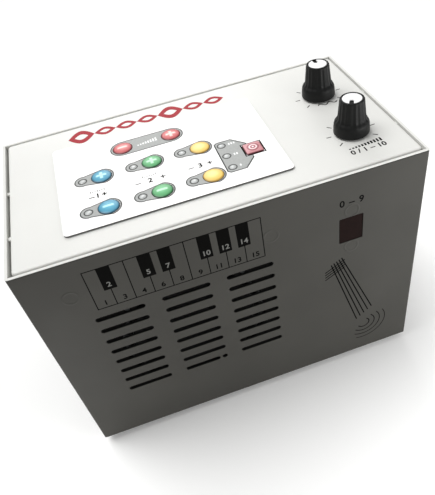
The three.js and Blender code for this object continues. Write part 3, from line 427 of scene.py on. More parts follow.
def lamp(name, kind, power, way, at=(0, 0, 0)):
    """A lamp that shines along a direction and stays out of the camera's view."""
    light = bpy.data.lights.new(name, kind)
    light.energy = power
    made = shown(name, light)
    made.location = Vector(at) * MM
    made.rotation_mode = "QUATERNION"
    made.rotation_quaternion = Vector(way).to_track_quat("-Z", "Y")
    made.visible_camera = False
    return light


# A sun has a spread in degrees. A panel has a place and a size instead.
for name, power, way, spread in (
        ("sky_light", 1.94, (0.42, -0.26, -1), 42),
        ("back_light", 0.55, (-0.02, -0.88, -0.5), 30)):
    lamp(name, "SUN", power, way).angle = math.radians(spread)
for name, power, way, at, size in (
        ("right_panel", 1.15, (-0.62, 0.62, -0.14), (330, -330, 150), 260),
        ("back_panel", 0.09, (-0.05, -0.6, -0.8), (30, 190, 330), 200),
        ("left_panel", 0.035, (0.38, 0.86, 0.1), (-150, -150, 12), 50)):
    lamp(name, "AREA", power, way, at).size = size * MM
floor_finish = Finish("floor_paint", base_color=ink(250, 250, 249), roughness=0.8)
floor_shape = bmesh.new()
bmesh.ops.create_grid(floor_shape, x_segments=1, y_segments=1, size=FLOOR_HALF)
floor_mesh = as_mesh("floor", floor_shape)
floor_mesh.materials.append(floor_finish.material)
shown("floor", floor_mesh)
print("studio: two soft suns, three weak panels, a pale world and a pale floor")

# %% [markdown]
# ## Paint on the wrap
# The wrap is powder coated. Its outside is coloured a warm dark grey: partly the paint's own
# colour and partly painted shade, which stands in for the shade that falls on its front. Such
# paint has a fine orange peel, a satin sheen and slow clouds of slightly different grey. The
# sheared edge along the top is off-white, as the plate is, and so are the inner faces behind it.
# A thin dark line of painted shade runs where the two coats meet. Further down the inside, and
# inside the punched slots, the sheet is painted almost black as painted shade. The lowest
# millimetre of the outside is darker too, as a line of painted shade along the foot. The finish
# tells these places apart by the height and by how far a point lies under the outer faces, with
# the folded corners' own radius, so that the paint also follows round them. Four studs behind
# the front press faint rings into it, which a bump shows well enough.

# %% Make the grey paint
OFF_WHITE, SHADE_LINE_GREY, FOLD, STUD_RING = ink(224, 224, 220), ink(28, 28, 25), 1.4, 4.2
seam, lip_coat, inner_coat_foot = lip - 0.85, lip - 0.45, lip - 16
stud_places = ((24.0, 24.7), (135.1, 25.9), (183.5, 25.9), (183.5, 53.4))
shell_paint = Finish("grey_paint_and_painted_shade", specular=0.2)
across, deep, high = shell_paint.axes((*box_middle, 0))
past_side, past_front = abs(across) - (width / 2 - FOLD), abs(deep) - (depth / 2 - FOLD)
under = FOLD - length(past_side.most(0), past_front.most(0)) - past_side.most(past_front).least(0)
# The dark grey is partly the paint's own colour and partly painted shade for the shaded front.
coat = shell_paint.clouded(ink(58, 57, 53), 0.06)
# Painted shade: a thin dark line just under the off-white edge, and a darker lowest millimetre along the
# foot.
painted_shade_lines = high.near(seam, 0.3, 0.35).most(1 - high.rises(bottom + 0.5, bottom + 1.5))
coat = shell_paint.blend(painted_shade_lines * 0.55, coat, SHADE_LINE_GREY)
whitened = high.rises(inner_coat_foot, inner_coat_foot + 4)
# Below the off-white band the inner faces and the walls of the slots are painted almost black: painted shade.
inner_coat_and_painted_shade = shell_paint.blend(whitened, ink(22, 22, 21), ink(222, 222, 218))
behind = under.rises(0.12, 0.4) * high.rises(bottom + 2, bottom + 4)
coat = shell_paint.blend(behind, coat, inner_coat_and_painted_shade)
coat = shell_paint.blend(high.rises(lip_coat, lip_coat + 0.25), coat, OFF_WHITE)
shell_paint.give("Base Color", coat)
marks = 0.0
for place in stud_places:
    mark_x, mark_z = on_front(*place)
    away = length(*shell_paint.axes((mark_x, front, mark_z)))
    marks = marks + away.near(STUD_RING, 0.1, 0.8)
peel = shell_paint.relief(shell_paint.grain(1.6, 2.0), 0.012)
shell_paint.give("Normal", shell_paint.relief(marks, 0.15, peel))
shell_paint.give("Roughness", 0.46 + 0.12 * shell_paint.grain(0.05, 4.0))

# %% [markdown]
# ## The folded wrap
# The real wrap is 1.5 mm sheet, folded round four sides with a flange turned in at the foot. Its
# section is closed, so the stations run up the outside, round the painted lip, down the inside
# and out again along the flange. The grille, the window and the two holes at the back are
# pressed out with Booleans. Each cutter in the front flares at the surface, which leaves the soft
# edge that paint builds up round a punched hole.

# %% Fold the wrap
SHEET, FLANGE, FOOT_EDGE = 1.5, 12.0, 0.2
lip_round = ((0.0, 0.18), (0.05, 0.05), (0.18, 0.0))
base_top = corners("base_plate")[1].z
stations = [(0, bottom + FOOT_EDGE)] + [(inset, lip - down) for inset, down in lip_round]
stations += [(SHEET - inset, lip - down) for inset, down in reversed(lip_round)]
stations += [(SHEET, base_top + SHEET), (SHEET + FLANGE, base_top + SHEET), (SHEET + FLANGE, base_top),
             (SHEET, base_top), (SHEET, bottom), (FOOT_EDGE, bottom)]
wrap = carry((width, depth), FOLD, stations, at=box_middle, closed=True)

# %% Press out the grille, the window and the holes at the back
SLOT_LONG, SLOT_WIDE, COLUMN_PITCH, ROW_PITCH, SLOT_ROWS = 28.3, 3.35, 38.1, 10.05, 8
FIRST_ROW_BELOW, BRIDGE = 47.1, (23.3, 24.7)
WINDOW, WINDOW_CORNER, INLET_HOLE, JACK_HOLE, PRESS = (14.8, 18.8), 0.6, (24.6, 13.6), 5.1, 3
# The flare starts a hair outside the wall: a ring in the wall's own plane would leave slivers.
flare = ((-0.1618, -1.0), (-0.1618, -0.001), (-0.05, 0.06), (0.0, 0.18), (0.0, 4.0))
speaker, window = middle("speaker_cone"), middle("display_digit")
inlet, jack = middle("mains_inlet"), middle("line_out_nut")


def punch(size, corner, at, arc=5):
    """One flared cutter, drawn lying down with the surface at height zero."""
    return carry(size, corner, [(inset, -down) for inset, down in flare], at=at, arc=arc)


cutters = [punch(WINDOW, WINDOW_CORNER, (window.x, window.z), 3)]
first_row = on_front(0, FIRST_ROW_BELOW)[1]
for column in (-1, 0, 1):
    for row in range(SLOT_ROWS):
        x0 = speaker.x + column * COLUMN_PITCH - SLOT_LONG / 2
        ends = [(x0, x0 + SLOT_LONG)]
        if column == 0 and row == SLOT_ROWS - 1:
            ends = [(x0, x0 + BRIDGE[0]), (x0 + BRIDGE[1], x0 + SLOT_LONG)]
        for start, stop in ends:
            spot = ((start + stop) / 2, first_row - row * ROW_PITCH)
            cutters.append(punch((stop - start, SLOT_WIDE), SLOT_WIDE / 2, spot))
inlet_hole = carry(INLET_HOLE, 1.5, [(0, -PRESS), (0, PRESS)], at=(inlet.x, inlet.z))
rear_cutters = joined(inlet_hole, pin(JACK_HOLE, -PRESS, PRESS, (jack.x, jack.z)))
wrap = cut(wrap, stood_up(joined(*cutters), front), stood_up(rear_cutters, back))
piece("cabinet_wrap", wrap, shell_paint, stands_for=["cabinet_shell"], crease=20)

# %% [markdown]
# ## The top plate
# The plate is a shallow pan whose edges are bent down all round, so it meets the top with a soft
# radius that catches a bright line of light. It is carried through stations as the wrap is: up
# the skirt and round the bend, and a second body takes out its hollow. Two short tabs a side are
# welded to the walls. The gap round it differs from side to side, as it does on a hand-fitted
# plate: it lies close to the back wall.

# %% Make the white paint
plate_paint = Finish("white_powder_paint", specular=0.5)
plate_paint.give("Base Color", plate_paint.clouded(OFF_WHITE, 0.015))
plate_paint.give("Roughness", 0.34 + 0.1 * plate_paint.grain(0.06, 3.0))
plate_paint.give("Normal", plate_paint.relief(plate_paint.grain(1.5, 2.0), 0.008))

# %% Bend the plate
SKIRT, BEND, PLATE_SHEET, PLATE_CORNER, HOLLOW_CORNER = 12.0, 1.2, 1.2, 2.2, 1
BUSH_HOLE, SLIT_FROM_FRONT = 5, 96.5
gap_left, gap_right, gap_front, gap_back = 3.05, 2.2, 3.5, 1.8
skirt_foot = plate_top - SKIRT
plate_size = (width - gap_left - gap_right, depth - gap_front - gap_back)
plate_middle = (box_middle[0] + (gap_left - gap_right) / 2, box_middle[1] + (gap_front - gap_back) / 2)
quarter = [math.pi / 2 * (1 - share) for share in shares(6)]
bend = [(BEND - BEND * math.sin(turn), plate_top - BEND + BEND * math.cos(turn)) for turn in quarter]
edge = [(PLATE_SHEET, skirt_foot), (0, skirt_foot)]
plate = carry(plate_size, PLATE_CORNER, edge + bend, at=plate_middle)
hollow = carry([side - 2 * PLATE_SHEET for side in plate_size], HOLLOW_CORNER,
               [(0, skirt_foot - 2), (0, plate_top - PLATE_SHEET)], at=plate_middle)
knob_places = {name: middle(name + "_shaft") for name in ("volume", "tone")}
through = (plate_top - 3, plate_top + 2)
bush_holes = joined(*[pin(BUSH_HOLE, *through, (at.x, at.y)) for at in knob_places.values()])
tail_place = (middle("keypad_overlay").x, front + SLIT_FROM_FRONT)
tail_slit = carry((18.6, 1.1), 0.2, [(0, z) for z in through], at=tail_place, arc=2)
plate = cut(plate, hollow, bush_holes, tail_slit)

# %% Weld on the tabs
TAB_LONG, TAB_FOOT, TAB_TOP = 2.6, plate_top - 2.4, plate_top - 1.3
tabs = []
for tab_deep in (33.5, 75.0):
    for side, gap in ((-1, gap_left), (1, gap_right)):
        span = gap + PLATE_SHEET - SHEET
        at = (side * (width / 2 - SHEET - span / 2), front + tab_deep)
        tabs.append(carry((span, TAB_LONG), 0.3, [(0, TAB_FOOT), (0, TAB_TOP)], at=at, arc=2))
piece("top_pan", joined(plate, *tabs), plate_paint, stands_for=["top_plate"], crease=40)

# %% [markdown]
# ## Printed film and prints
# The keypad's film is a stiff printed sheet. Its cut edge is painted dark: partly painted shade
# along that edge, and partly the dark circuit sheet under it showing there. The prints are thin
# flat bodies of ink: an outline is filled as a flat curve, one inside another leaves a ring, and
# round holes are pressed out with a Boolean. That keeps every line sharp at any distance, with
# no picture files.

# %% Draw outlines
INK, CAPITAL_SHARE = 0.04, 0.7


def arc_points(at, radius, start=0.0, stop=360.0, steps=40):
    """Points on an arc, with its angles in degrees."""
    turns = [math.radians(start + (stop - start) * share) for share in shares(steps)]
    return [(at[0] + radius * math.cos(turn), at[1] + radius * math.sin(turn)) for turn in turns]


def disc(at, radius):
    """The outline of a full circle."""
    return arc_points(at, radius)[:-1]


def bar(x0, y0, x1, y1):
    """The outline of a rectangle, from its lower left to its upper right corner."""
    return [(x0, y0), (x1, y0), (x1, y1), (x0, y1)]


def stroke(points, wide):
    """A line of even width along some points, as one closed outline."""
    one_side, other_side = [], []
    for n, (px, py) in enumerate(points):
        (ax, ay), (bx, by) = points[max(n - 1, 0)], points[min(n + 1, len(points) - 1)]
        share = wide / 2 / math.hypot(bx - ax, by - ay)
        dx, dy = (ay - by) * share, (bx - ax) * share
        one_side.append((px + dx, py + dy))
        other_side.append((px - dx, py - dy))
    return one_side + other_side[::-1]


# %% Fill outlines with ink
def taken(data):
    """The mesh of a curve or a text, as a shape."""
    maker = shown("outline", data)
    shape = settled(maker)
    bpy.data.objects.remove(maker)
    bmesh.ops.remove_doubles(shape, verts=shape.verts, dist=0.0001)
    return shape


def flat(loops, thick=INK):
    """Fills flat outlines, as a body round height zero. One inside another leaves a ring."""
    curve = bpy.data.curves.new("outline", "CURVE")
    curve.dimensions, curve.fill_mode, curve.extrude = "2D", "BOTH", thick / 2
    for loop in loops:
        line = curve.splines.new("POLY")
        line.points.add(len(loop) - 1)
        line.use_cyclic_u = True
        for point, (px, py) in zip(line.points, loop):
            point.co = (px, py, 0, 1)
    return taken(curve)


def holed(outlines, holes):
    """Filled outlines with round holes. A hole is a place and a radius."""
    pins = [pin(radius, -1, 1, at) for at, radius in holes]
    return cut(joined(*[flat([outline]) for outline in outlines]), joined(*pins))


def lettering(text, high, at, bold, spread=1.0):
    """Numbers and signs, centred on a place. Their height is a share of the font's size."""
    line = bpy.data.curves.new("lettering", "FONT")
    line.body, line.size, line.extrude, line.offset = text, high / CAPITAL_SHARE, INK / 2, bold
    line.space_character = spread
    line.align_x, line.align_y = "CENTER", "CENTER"
    return moved(taken(line), (*at, 0))


def lifted(shape, height):
    """Moves a shape upwards."""
    return moved(shape, (0, 0, height))


# %% Make the film and the inks
def printed(name, colour, speckle=0.04, gloss=0.3):
    """Screen-printing ink: even, slightly dull, with a fine mottle."""
    finish = Finish(name, specular=gloss)
    finish.give("Base Color", finish.clouded(colour, speckle, 0.8))
    finish.give("Roughness", 0.5 + 0.12 * finish.grain(2.0))
    return finish


film = Finish("printed_film", specular=0.5)
# The cut edge below the printed top is painted dark grey: partly painted shade.
printed_top_over_shaded_edge = film.axes()[2].rises(film_top - 0.16, film_top - 0.08)
film.give("Base Color", film.blend(printed_top_over_shaded_edge, ink(40, 40, 40), ink(252, 252, 250)))
film.give("Roughness", 0.3 + 0.1 * film.grain(0.1))
film.give("Normal", film.relief(film.grain(3.0), 0.003))
dark_ink = printed("dark_ink", ink(8, 8, 7), gloss=0.02)
key_line_ink = printed("outline_ink", ink(74, 75, 74))
grey_ink = printed("grey_ink", ink(172, 174, 172))
white_ink = printed("white_ink", ink(250, 250, 250), 0.01)
red_ink = printed("red_ink", ink(164, 22, 38))
dress(film, "keypad_overlay")

# %% [markdown]
# ## Capsules round the keys
# Each column key sits in a grey keyhole-shaped field that also holds its lamp. The outline is the
# belt round two circles of different size, so its straight sides touch both. The same belt, a
# little larger and a little smaller, gives the printed line round it.


# %% Draw the keyhole fields
def belt(key, key_radius, lamp, lamp_radius):
    """The outline round a large circle on the right and a small one on its left."""
    apart = key[0] - lamp[0]
    lean = math.degrees(math.acos((key_radius - lamp_radius) / apart))
    return arc_points(key, key_radius, -lean, lean) + arc_points(lamp, lamp_radius, lean, 360 - lean)


def capsule(ends, radius):
    """The outline round two equal circles."""
    return arc_points(ends[1], radius, -90, 90) + arc_points(ends[0], radius, 90, 270)


LAMP_FROM_KEY, LAMP_RING, LAMP_RING_INSIDE, LAMP_HOLE = 11.1, 2.7, 1.95, 1.5
KEY_HOLE, KEY_HOLE_SHIFT = 6.25, 0.1
keys = [middle(f"key_{column}_{way}") for column in ("fine", "manual", "tempo") for way in ("up", "down")]
mains = [middle("key_main_down"), middle("key_main_up")]
mode = middle("key_mode")
key_lamps = [(at.x - LAMP_FROM_KEY, at.y) for at in keys]
mode_lamps = [on_top(127.6, deep) for deep in (34.4, 46.0, 57.2)]
lamps = key_lamps + mode_lamps


# %% Draw the square key's field
BORDER, BORDER_INSIDE = 6.2, 5.5
field_middle = (132.4, 45.8)
field_corners = (
    (124.0, 31.9), (125.6, 30.3), (134.5, 30.3), (141.2, 38.3),
    (141.2, 53.2), (134.0, 61.2), (125.6, 61.2), (124.0, 59.6))


def mode_field(grow):
    """The eight-sided field of the square key, grown, with a bay for the key on its right side."""
    points = [on_top(*[place + math.copysign(grow, place - centre)
                       for place, centre in zip(corner, field_middle)]) for corner in field_corners]
    reach = max(across for across, deep in points)
    near, far = mode.y - BORDER, mode.y + BORDER
    bay = [(reach, near), (mode.x - BORDER, near), (mode.x - BORDER, far), (reach, far)]
    return points[:4] + bay + points[4:]


# %% Print the fields and their outlines
FIELD_RADII, FIELD_RADIUS, FIELD_GROWTH = (6.7, 4.15), 7.05, 0.4
LINE_RADII, LINE_RADIUS = ((7.3, 4.75), (6.6, 4.05)), (7.6, 6.95)
MODE_LINE, MODE_LINE_GROWTH = 0.64, 0.08
on_film = film_top + INK / 2
pairs = list(zip(keys, key_lamps))
outlines = [belt(at, FIELD_RADII[0], lamp_at, FIELD_RADII[1]) for at, lamp_at in pairs]
outlines += [capsule(mains, FIELD_RADIUS), mode_field(FIELD_GROWTH)]
holes = [((at.x + KEY_HOLE_SHIFT, at.y), KEY_HOLE) for at in keys + mains] + [(at, LAMP_RING) for at in lamps]
fields = holed(outlines, holes)
upper_sides = [face.calc_area() for face in fields.faces if face.normal.z > 0.9]
print("grey fields:", round(sum(upper_sides)), "square mm")
lamp_floors = flat([loop for at in lamps for loop in (disc(at, LAMP_RING_INSIDE), disc(at, LAMP_HOLE))])
piece("print_grey_fields", lifted(joined(fields, lamp_floors), on_film), grey_ink)
lines = [belt(at, radius, lamp_at, lamp_radius)
         for at, lamp_at in pairs for radius, lamp_radius in LINE_RADII]
lines += [capsule(mains, radius) for radius in LINE_RADIUS]
lines += [loop for at in lamps for loop in (disc(at, LAMP_RING), disc(at, LAMP_RING_INSIDE))]
around = mode_field(MODE_LINE_GROWTH)
mode_line = flat([stroke(around[7:] + around[:5], MODE_LINE)])
piece("print_outlines", lifted(joined(flat(lines), mode_line), on_film), key_line_ink)
border = [bar(mode.x - half, mode.y - half, mode.x + half, mode.y + half)
          for half in (BORDER, BORDER_INSIDE)]
piece("print_key_border", lifted(flat(border), on_film), dark_ink)

# %% [markdown]
# ## Labels on the film
# Each label is plain: a number between a minus and a plus, with a short tick scale over two of
# them, and a row of growing bars between the two red keys. One, two and three short bars stand
# beside the lamps of the square key.

# %% Print the labels
TICK_STEP, TICK_HALF, LEVEL_STEP, LEVEL_HALF, COUNT_STEP, COUNT_WIDE = 1.3, 0.17, 1.6, 0.5, 1.5, 0.9
labels = []
for number, column, spread, scaled in (
        (1, "fine", 0.85, True), (2, "manual", 1.5, True), (3, "tempo", 1.2, False)):
    up, down = middle(f"key_{column}_up"), middle(f"key_{column}_down")
    centre, level = up.x - 4.1, (up.y + down.y) / 2
    labels.append(lettering(f"– {number} +", 3.9, (centre, level - 2.4), 0.13, spread))
    if scaled:
        ticks = [(centre + TICK_STEP * (n - 3), 3.3 if n % 3 == 0 else 2.6) for n in range(7)]
        ticks = [bar(x - TICK_HALF, level + 1.6, x + TICK_HALF, level + tall) for x, tall in ticks]
        labels.append(flat(ticks))
piece("print_film_labels", lifted(joined(*labels), on_film), dark_ink)
between = (mains[0] + mains[1]) / 2
levels = [(between.x - 5.6 + LEVEL_STEP * n, between.y - 0.8 + 0.4 * n) for n in range(8)]
level_bars = [bar(x - LEVEL_HALF, between.y - 1.8, x + LEVEL_HALF, y) for x, y in levels]
counts = [(x + 4.2 + COUNT_STEP * k, y) for n, (x, y) in enumerate(mode_lamps) for k in range(n + 1)]
count_bars = [bar(x, y - 0.9, x + COUNT_WIDE, y + 0.9) for x, y in counts]
lights = lifted(joined(flat(level_bars), flat(count_bars)), film_top + INK * 1.5)
piece("print_film_lights", lights, white_ink)

# %% [markdown]
# ## Keys
# A key is a soft printed dome. Its paler middle is a painted highlight and its darker rim is
# painted shade. Six of them have a pale plus or minus, blurred by the plastic over it. The dome
# is spun from a profile. Its colour and its sign are worked out from the distance to the key's
# own centre, so they stay with the key when it is pressed.


# %% Colour one dome
SIGN_LONG, SIGN_WIDE = (2.3, 1.3), (0.4, 0.9)


def dome_plastic(name, at):
    """Soft printed plastic, and the two level distances from the key's own centre."""
    finish = Finish(name, roughness=0.36, coat_weight=0.16, coat_roughness=0.15)
    finish.give("Normal", finish.relief(finish.grain(1.2), 0.006))
    return finish, *finish.axes((at.x, at.y, 0))[:2]


def dome_finish(name, at, way, painted_highlight, full, painted_rim_shade, light=None):
    """A dome with a painted highlight in its middle and painted shade at its rim, with or without a sign."""
    finish, across, along = dome_plastic(name, at)
    away = length(across, along)
    # Painted highlight in the middle, then painted shade at the rim.
    colour = finish.blend(away.rises(0.5, 5.0), painted_highlight, full)
    colour = finish.blend(away.rises(4.6, 5.8), colour, painted_rim_shade)
    if light:
        mark = across.near(0, *SIGN_LONG) * along.near(0, *SIGN_WIDE)
        if way == "up":
            mark = mark.most(along.near(0, *SIGN_LONG) * across.near(0, *SIGN_WIDE))
        colour = finish.blend(mark, colour, light)
    finish.give("Base Color", colour)
    return finish


# Each family's tints: its painted highlight in the middle, its full colour, its painted rim shade and, if it
# has one, its sign.
families = {
    "main": ("red_dome", (222, 134, 130), (200, 80, 82), (122, 44, 50), (250, 210, 203)),
    "fine": ("blue_dome", (82, 178, 206), (60, 150, 182), (36, 94, 118), (182, 242, 248)),
    "manual": ("green_dome", (106, 194, 132), (78, 166, 100), (42, 104, 62), (188, 244, 202)),
    "tempo": ("yellow_dome", (250, 238, 146), (240, 204, 98), (178, 140, 58)),
}

# %% Spin the eight domes
dome = [(5.82, 0), (5.86, 0.25), (5.78, 0.42), (5.55, 0.56), (5.05, 0.7), (4.2, 0.86), (3.0, 1.02),
        (1.6, 1.14), (0, 1.18)]
for family, (slot_name, *tints) in families.items():
    for way in ("up", "down"):
        node = f"key_{family}_{way}"
        at, foot = middle(node), corners(node)[0].z
        finish = dome_finish(f"{family}_{way}_dome", at, way, *[ink(*tint) for tint in tints])
        cushion = turned([(0, 0)] + dome, 64, (at.x, at.y))
        piece(f"{family}_{way}_cushion", lifted(cushion, foot), finish,
              body=f"button_{family}_{way}", stands_for=[node])

# %% Dome the square key
MODE_SIZE, MODE_CORNER, RING_BLUR = 10.6, 1.5, 0.35
rings = ((3.05, 0.4, ink(160, 84, 94)), (2.1, 0.2, ink(246, 218, 218)),
         (1.15, 0.15, ink(158, 80, 92)), (0.0, 0.35, ink(255, 244, 244)))
mode_finish, across, along = dome_plastic("mode_dome", mode)
away, square = length(across, along), abs(across).most(abs(along))
colour = mode_finish.blend(square.rises(4.5, 5.3), ink(204, 138, 143), ink(96, 40, 46))
for radius, reach, ring in rings:
    colour = mode_finish.blend(away.near(radius, reach, RING_BLUR), colour, ring)
mode_finish.give("Base Color", colour)
cushion = carry(
    (MODE_SIZE, MODE_SIZE), MODE_CORNER,
    [(0, 0), (0, 0.4), (0.15, 0.6), (0.5, 0.78), (1.2, 0.94), (2.4, 1.08), (3.8, 1.16)], at=(mode.x, mode.y))
piece("mode_cushion", lifted(cushion, corners("key_mode")[0].z), mode_finish,
      body="button_mode", stands_for=["key_mode"])

# %% [markdown]
# ## Lamps
# The nine lamps are low clear buttons in the film. Each is a small spun dome, a little paler than
# the field round it.

# %% Set the lamps
lamp_finish = Finish("lamp_lens", roughness=0.2, coat_weight=0.4)
lamp_finish.give("Base Color", lamp_finish.clouded(ink(192, 195, 194), 0.08, 0.6))
lens = [(0, 0), (1.6, 0), (1.58, 0.1), (1.35, 0.24), (0.8, 0.33), (0, 0.36)]
piece("lamp_lenses", lifted(set_out(lambda: turned(lens, 32), lamps), film_top), lamp_finish)

# %% [markdown]
# ## Knobs
# Each knob is moulded in black plastic: a broad skirt, a rounded shoulder and a tapered body with
# fine flutes, over the pot's nut. The whole section, with the hollow under it, is one spun
# profile. Then the points of the body sink between eighteen ribs, and the flutes fade out over
# the shoulder as they do on the real knob.

# %% Make the knob plastics
knob_plastic = Finish("black_knob_plastic", specular=0.22)
knob_plastic.give("Base Color", knob_plastic.clouded(ink(10, 11, 10), 0.12, 0.3))
knob_plastic.give("Roughness", 0.42 + 0.16 * knob_plastic.grain(0.8, 4.0))
knob_plastic.give("Normal", knob_plastic.relief(knob_plastic.grain(5.0, 3.0), 0.008))
cap_plastic = Finish("white_cap_plastic", roughness=0.3)
cap_plastic.give("Base Color", cap_plastic.clouded(ink(246, 246, 246), 0.015, 0.3))
cap_plastic.give("Normal", cap_plastic.relief(cap_plastic.grain(4.0), 0.004))

# %% Draw half of a knob's section
KNOB_TOP = 21.6
bore = [(0, 16.6), (3.3, 16.6), (3.3, 6.0), (8.9, 6.0), (8.9, 1.2), (9.1, 1.0)]
skirt = [(10.15, 1.0), (10.34, 1.15), (10.38, 1.5), (10.32, 3.2), (10.2, 5.2)]
shoulder = [(10.1, 6.2), (9.95, 7.0), (9.7, 7.65), (9.35, 8.2), (8.95, 8.65), (8.6, 9.1),
            (8.35, 9.7), (8.16, 10.5)]
taper = [(8.0 - 0.9 * share, 11.5 + 9.2 * share) for share in shares(6)]
crown = [(radius, KNOB_TOP - down) for radius, down in (
    (7, 0.5), (6.85, 0.18), (6.6, 0.03), (6.35, 0), (5.95, 0), (5.78, 0.1), (5.7, 0.3), (5.7, 0.7), (0, 0.7))]

# %% Turn and flute the knobs
RIBS, FLUTE, FLUTE_FOOT, FLUTE_FADE, INNER_RADIUS = 18, 0.34, 6.5, 2.2, 6.8


def fluted(point):
    """Sinks a point of the knob's body between two ribs."""
    radius, rise = math.hypot(point.co.x, point.co.y), point.co.z - FLUTE_FOOT
    if radius < INNER_RADIUS or rise < 0:
        return
    fade = min(1.0, rise / FLUTE_FADE) * (1 if point.co.z < KNOB_TOP - 1 else 0.4)
    valley = 0.5 - 0.5 * math.cos(RIBS * math.atan2(point.co.y, point.co.x))
    point.co.xy *= 1 - FLUTE * fade * valley ** 0.7 / radius


for name, at in knob_places.items():
    knob = turned(bore + skirt + shoulder + taper + crown, 8 * RIBS)
    for point in knob.verts:
        fluted(point)
    piece(f"{name}_grip", moved(knob, (at.x, at.y, plate_top)), knob_plastic,
          body=f"{name}_control", stands_for=[f"{name}_knob"], crease=45)

# %% [markdown]
# ## Knob caps
# A white disc is pressed into the top of each knob. A notch from its rim almost to its middle
# shows the black knob under it, and is the pointer. The disc with its notch is one flat outline
# with a small bevel.

# %% Press in the caps
CAP_RADIUS, CAP_THICK, CAP_RISE, CAP_BEVEL, NOTCH, NOTCH_END = 5.5, 0.62, 21.25, 0.14, 1.25, 2.8
half = math.degrees(math.asin(NOTCH / CAP_RADIUS))
cap_outline = arc_points((0, 0), CAP_RADIUS, half, 360 - half, 72)
cap_outline += arc_points((NOTCH_END, 0), NOTCH, 270, 90, 12)
for name, facing in (("volume", -120.0), ("tone", 90.0)):
    at = knob_places[name]
    cap = flat([cap_outline], CAP_THICK)
    bmesh.ops.rotate(cap, verts=cap.verts, matrix=Matrix.Rotation(math.radians(facing), 3, "Z"))
    rims = [edge for edge in cap.edges if len(edge.link_faces) == 2 and edge.calc_face_angle() > 1
            and min(point.co.z for point in edge.verts) > 0]
    bmesh.ops.bevel(
        cap, geom=rims, affect="EDGES", offset=CAP_BEVEL, segments=2, profile=0.5, material=-1)
    piece(f"{name}_cap_disc", moved(cap, (at.x, at.y, plate_top + CAP_RISE)), cap_plastic,
          body=f"{name}_control", stands_for=[f"{name}_knob_cap"])

# %% [markdown]
# ## Marks round the knobs, and the red ornament
# Seven short ticks stand round each knob and leave its front free. In front of one a row of
# growing bars stands for loudness, over plain numbers for its switch and its range, and a small
# wave in front of the other stands for tone. Behind the keypad runs a row of red bellies, as on
# a plucked string.

# %% Print on the plate
TICK_ARC, TICK_REACH, LOUD_STEP, LOUD_WIDE, RIPPLE_LONG = (220, -39.98), (12.2, 15.2), 1.9, 1.1, 12.5
plate_marks = []
for at in knob_places.values():
    near, far = [arc_points((at.x, at.y), radius, *TICK_ARC, 6) for radius in TICK_REACH]
    plate_marks.append(flat([stroke(ends, 0.55) for ends in zip(near, far)]))
volume, tone = knob_places["volume"], knob_places["tone"]
loud_foot = front + 20.2
louder = [(volume.x - 8.8 + LOUD_STEP * n, loud_foot + 0.9 + 0.24 * n) for n in range(11)]
plate_marks.append(flat([bar(x, loud_foot, x + LOUD_WIDE, y) for x, y in louder]))
plate_marks.append(lettering("0 / 1 – 10", 3.6, (volume.x + 1.2, front + 16.9), 0.14, 1.05))
ripple = [(tone.x - 5 + RIPPLE_LONG * share, front + 71.5 + 1.1 * math.sin(2 * math.tau * share))
          for share in shares(40)]
plate_marks.append(flat([stroke(ripple, 0.7)]))
piece("print_plate_marks", lifted(joined(*plate_marks), plate_top + INK / 2), dark_ink)

# %% Print the red bellies
BIG, SMALL = (17, 7.5), (14, 4.6)
bellies = []
edge_x = on_top(41.5, 0)[0]
belly_y = front + 113
for long, swing in (BIG, SMALL, SMALL, SMALL, BIG, SMALL, SMALL):
    for start, part, reach in ((0, 1, 1), (0.24, 0.52, 0.42)):
        half_wave = [(edge_x + long * (start + part * share), reach * swing * math.sin(math.pi * share))
                     for share in shares(24)]
        bellies.append([(px, belly_y + py) for px, py in half_wave[:-1]]
                       + [(px, belly_y - py) for px, py in half_wave[:0:-1]])
    edge_x += long
piece("print_red_ornament", lifted(flat(bellies), plate_top + INK / 2), red_ink)

# %% [markdown]
# ## Chart on the front
# The front carries a printed chart of piano keys. It is only ink on the grey paint: the white
# keys are the paint itself inside dark lines. All keys are numbered in steps of a semitone.

# %% Print the chart
chart_left, chart_right, chart_top, chart_foot = 34.2, 130.3, 10.2, 39.1
key_wide = (chart_right - chart_left) / 9
black_long, black_half, half_line = 16.5, 3.55, 0.26
black_at = (1, 3, 4, 6, 7, 8)


def front_bar(start, high, stop, low):
    """A bar on the front, between two distances across and two distances down."""
    return bar(*on_front(start, low), *on_front(stop, high))


frame_line = [front_bar(chart_left - grow, chart_top - grow, chart_right + grow, chart_foot + grow)
              for grow in (half_line, -half_line)]
blacks, divides = [], []
for n in range(1, 9):
    edge_at = chart_left + key_wide * n
    top_end = chart_top + half_line
    if n in black_at:
        blacks.append(front_bar(edge_at - black_half, top_end, edge_at + black_half, chart_top + black_long))
        top_end = chart_top + black_long
    divides.append(front_bar(edge_at - half_line, top_end, edge_at + half_line, chart_foot - half_line))
chart = [flat(frame_line), flat(blacks), flat(divides)]


# %% Number the chart's keys
def key_number(number, size, keys_along, below):
    """A number on the chart, so many white keys from its left end."""
    return lettering(str(number), size, on_front(chart_left + key_wide * keys_along, below), 0.1)


light_numbers = []
number = 0
for n in range(9):
    number += 1
    chart.append(key_number(number, 3.5, n + 0.5, chart_foot - 3.4))
    if n + 1 in black_at:
        number += 1
        light_numbers.append(key_number(number, 3.4, n + 1, chart_top + 13.0))

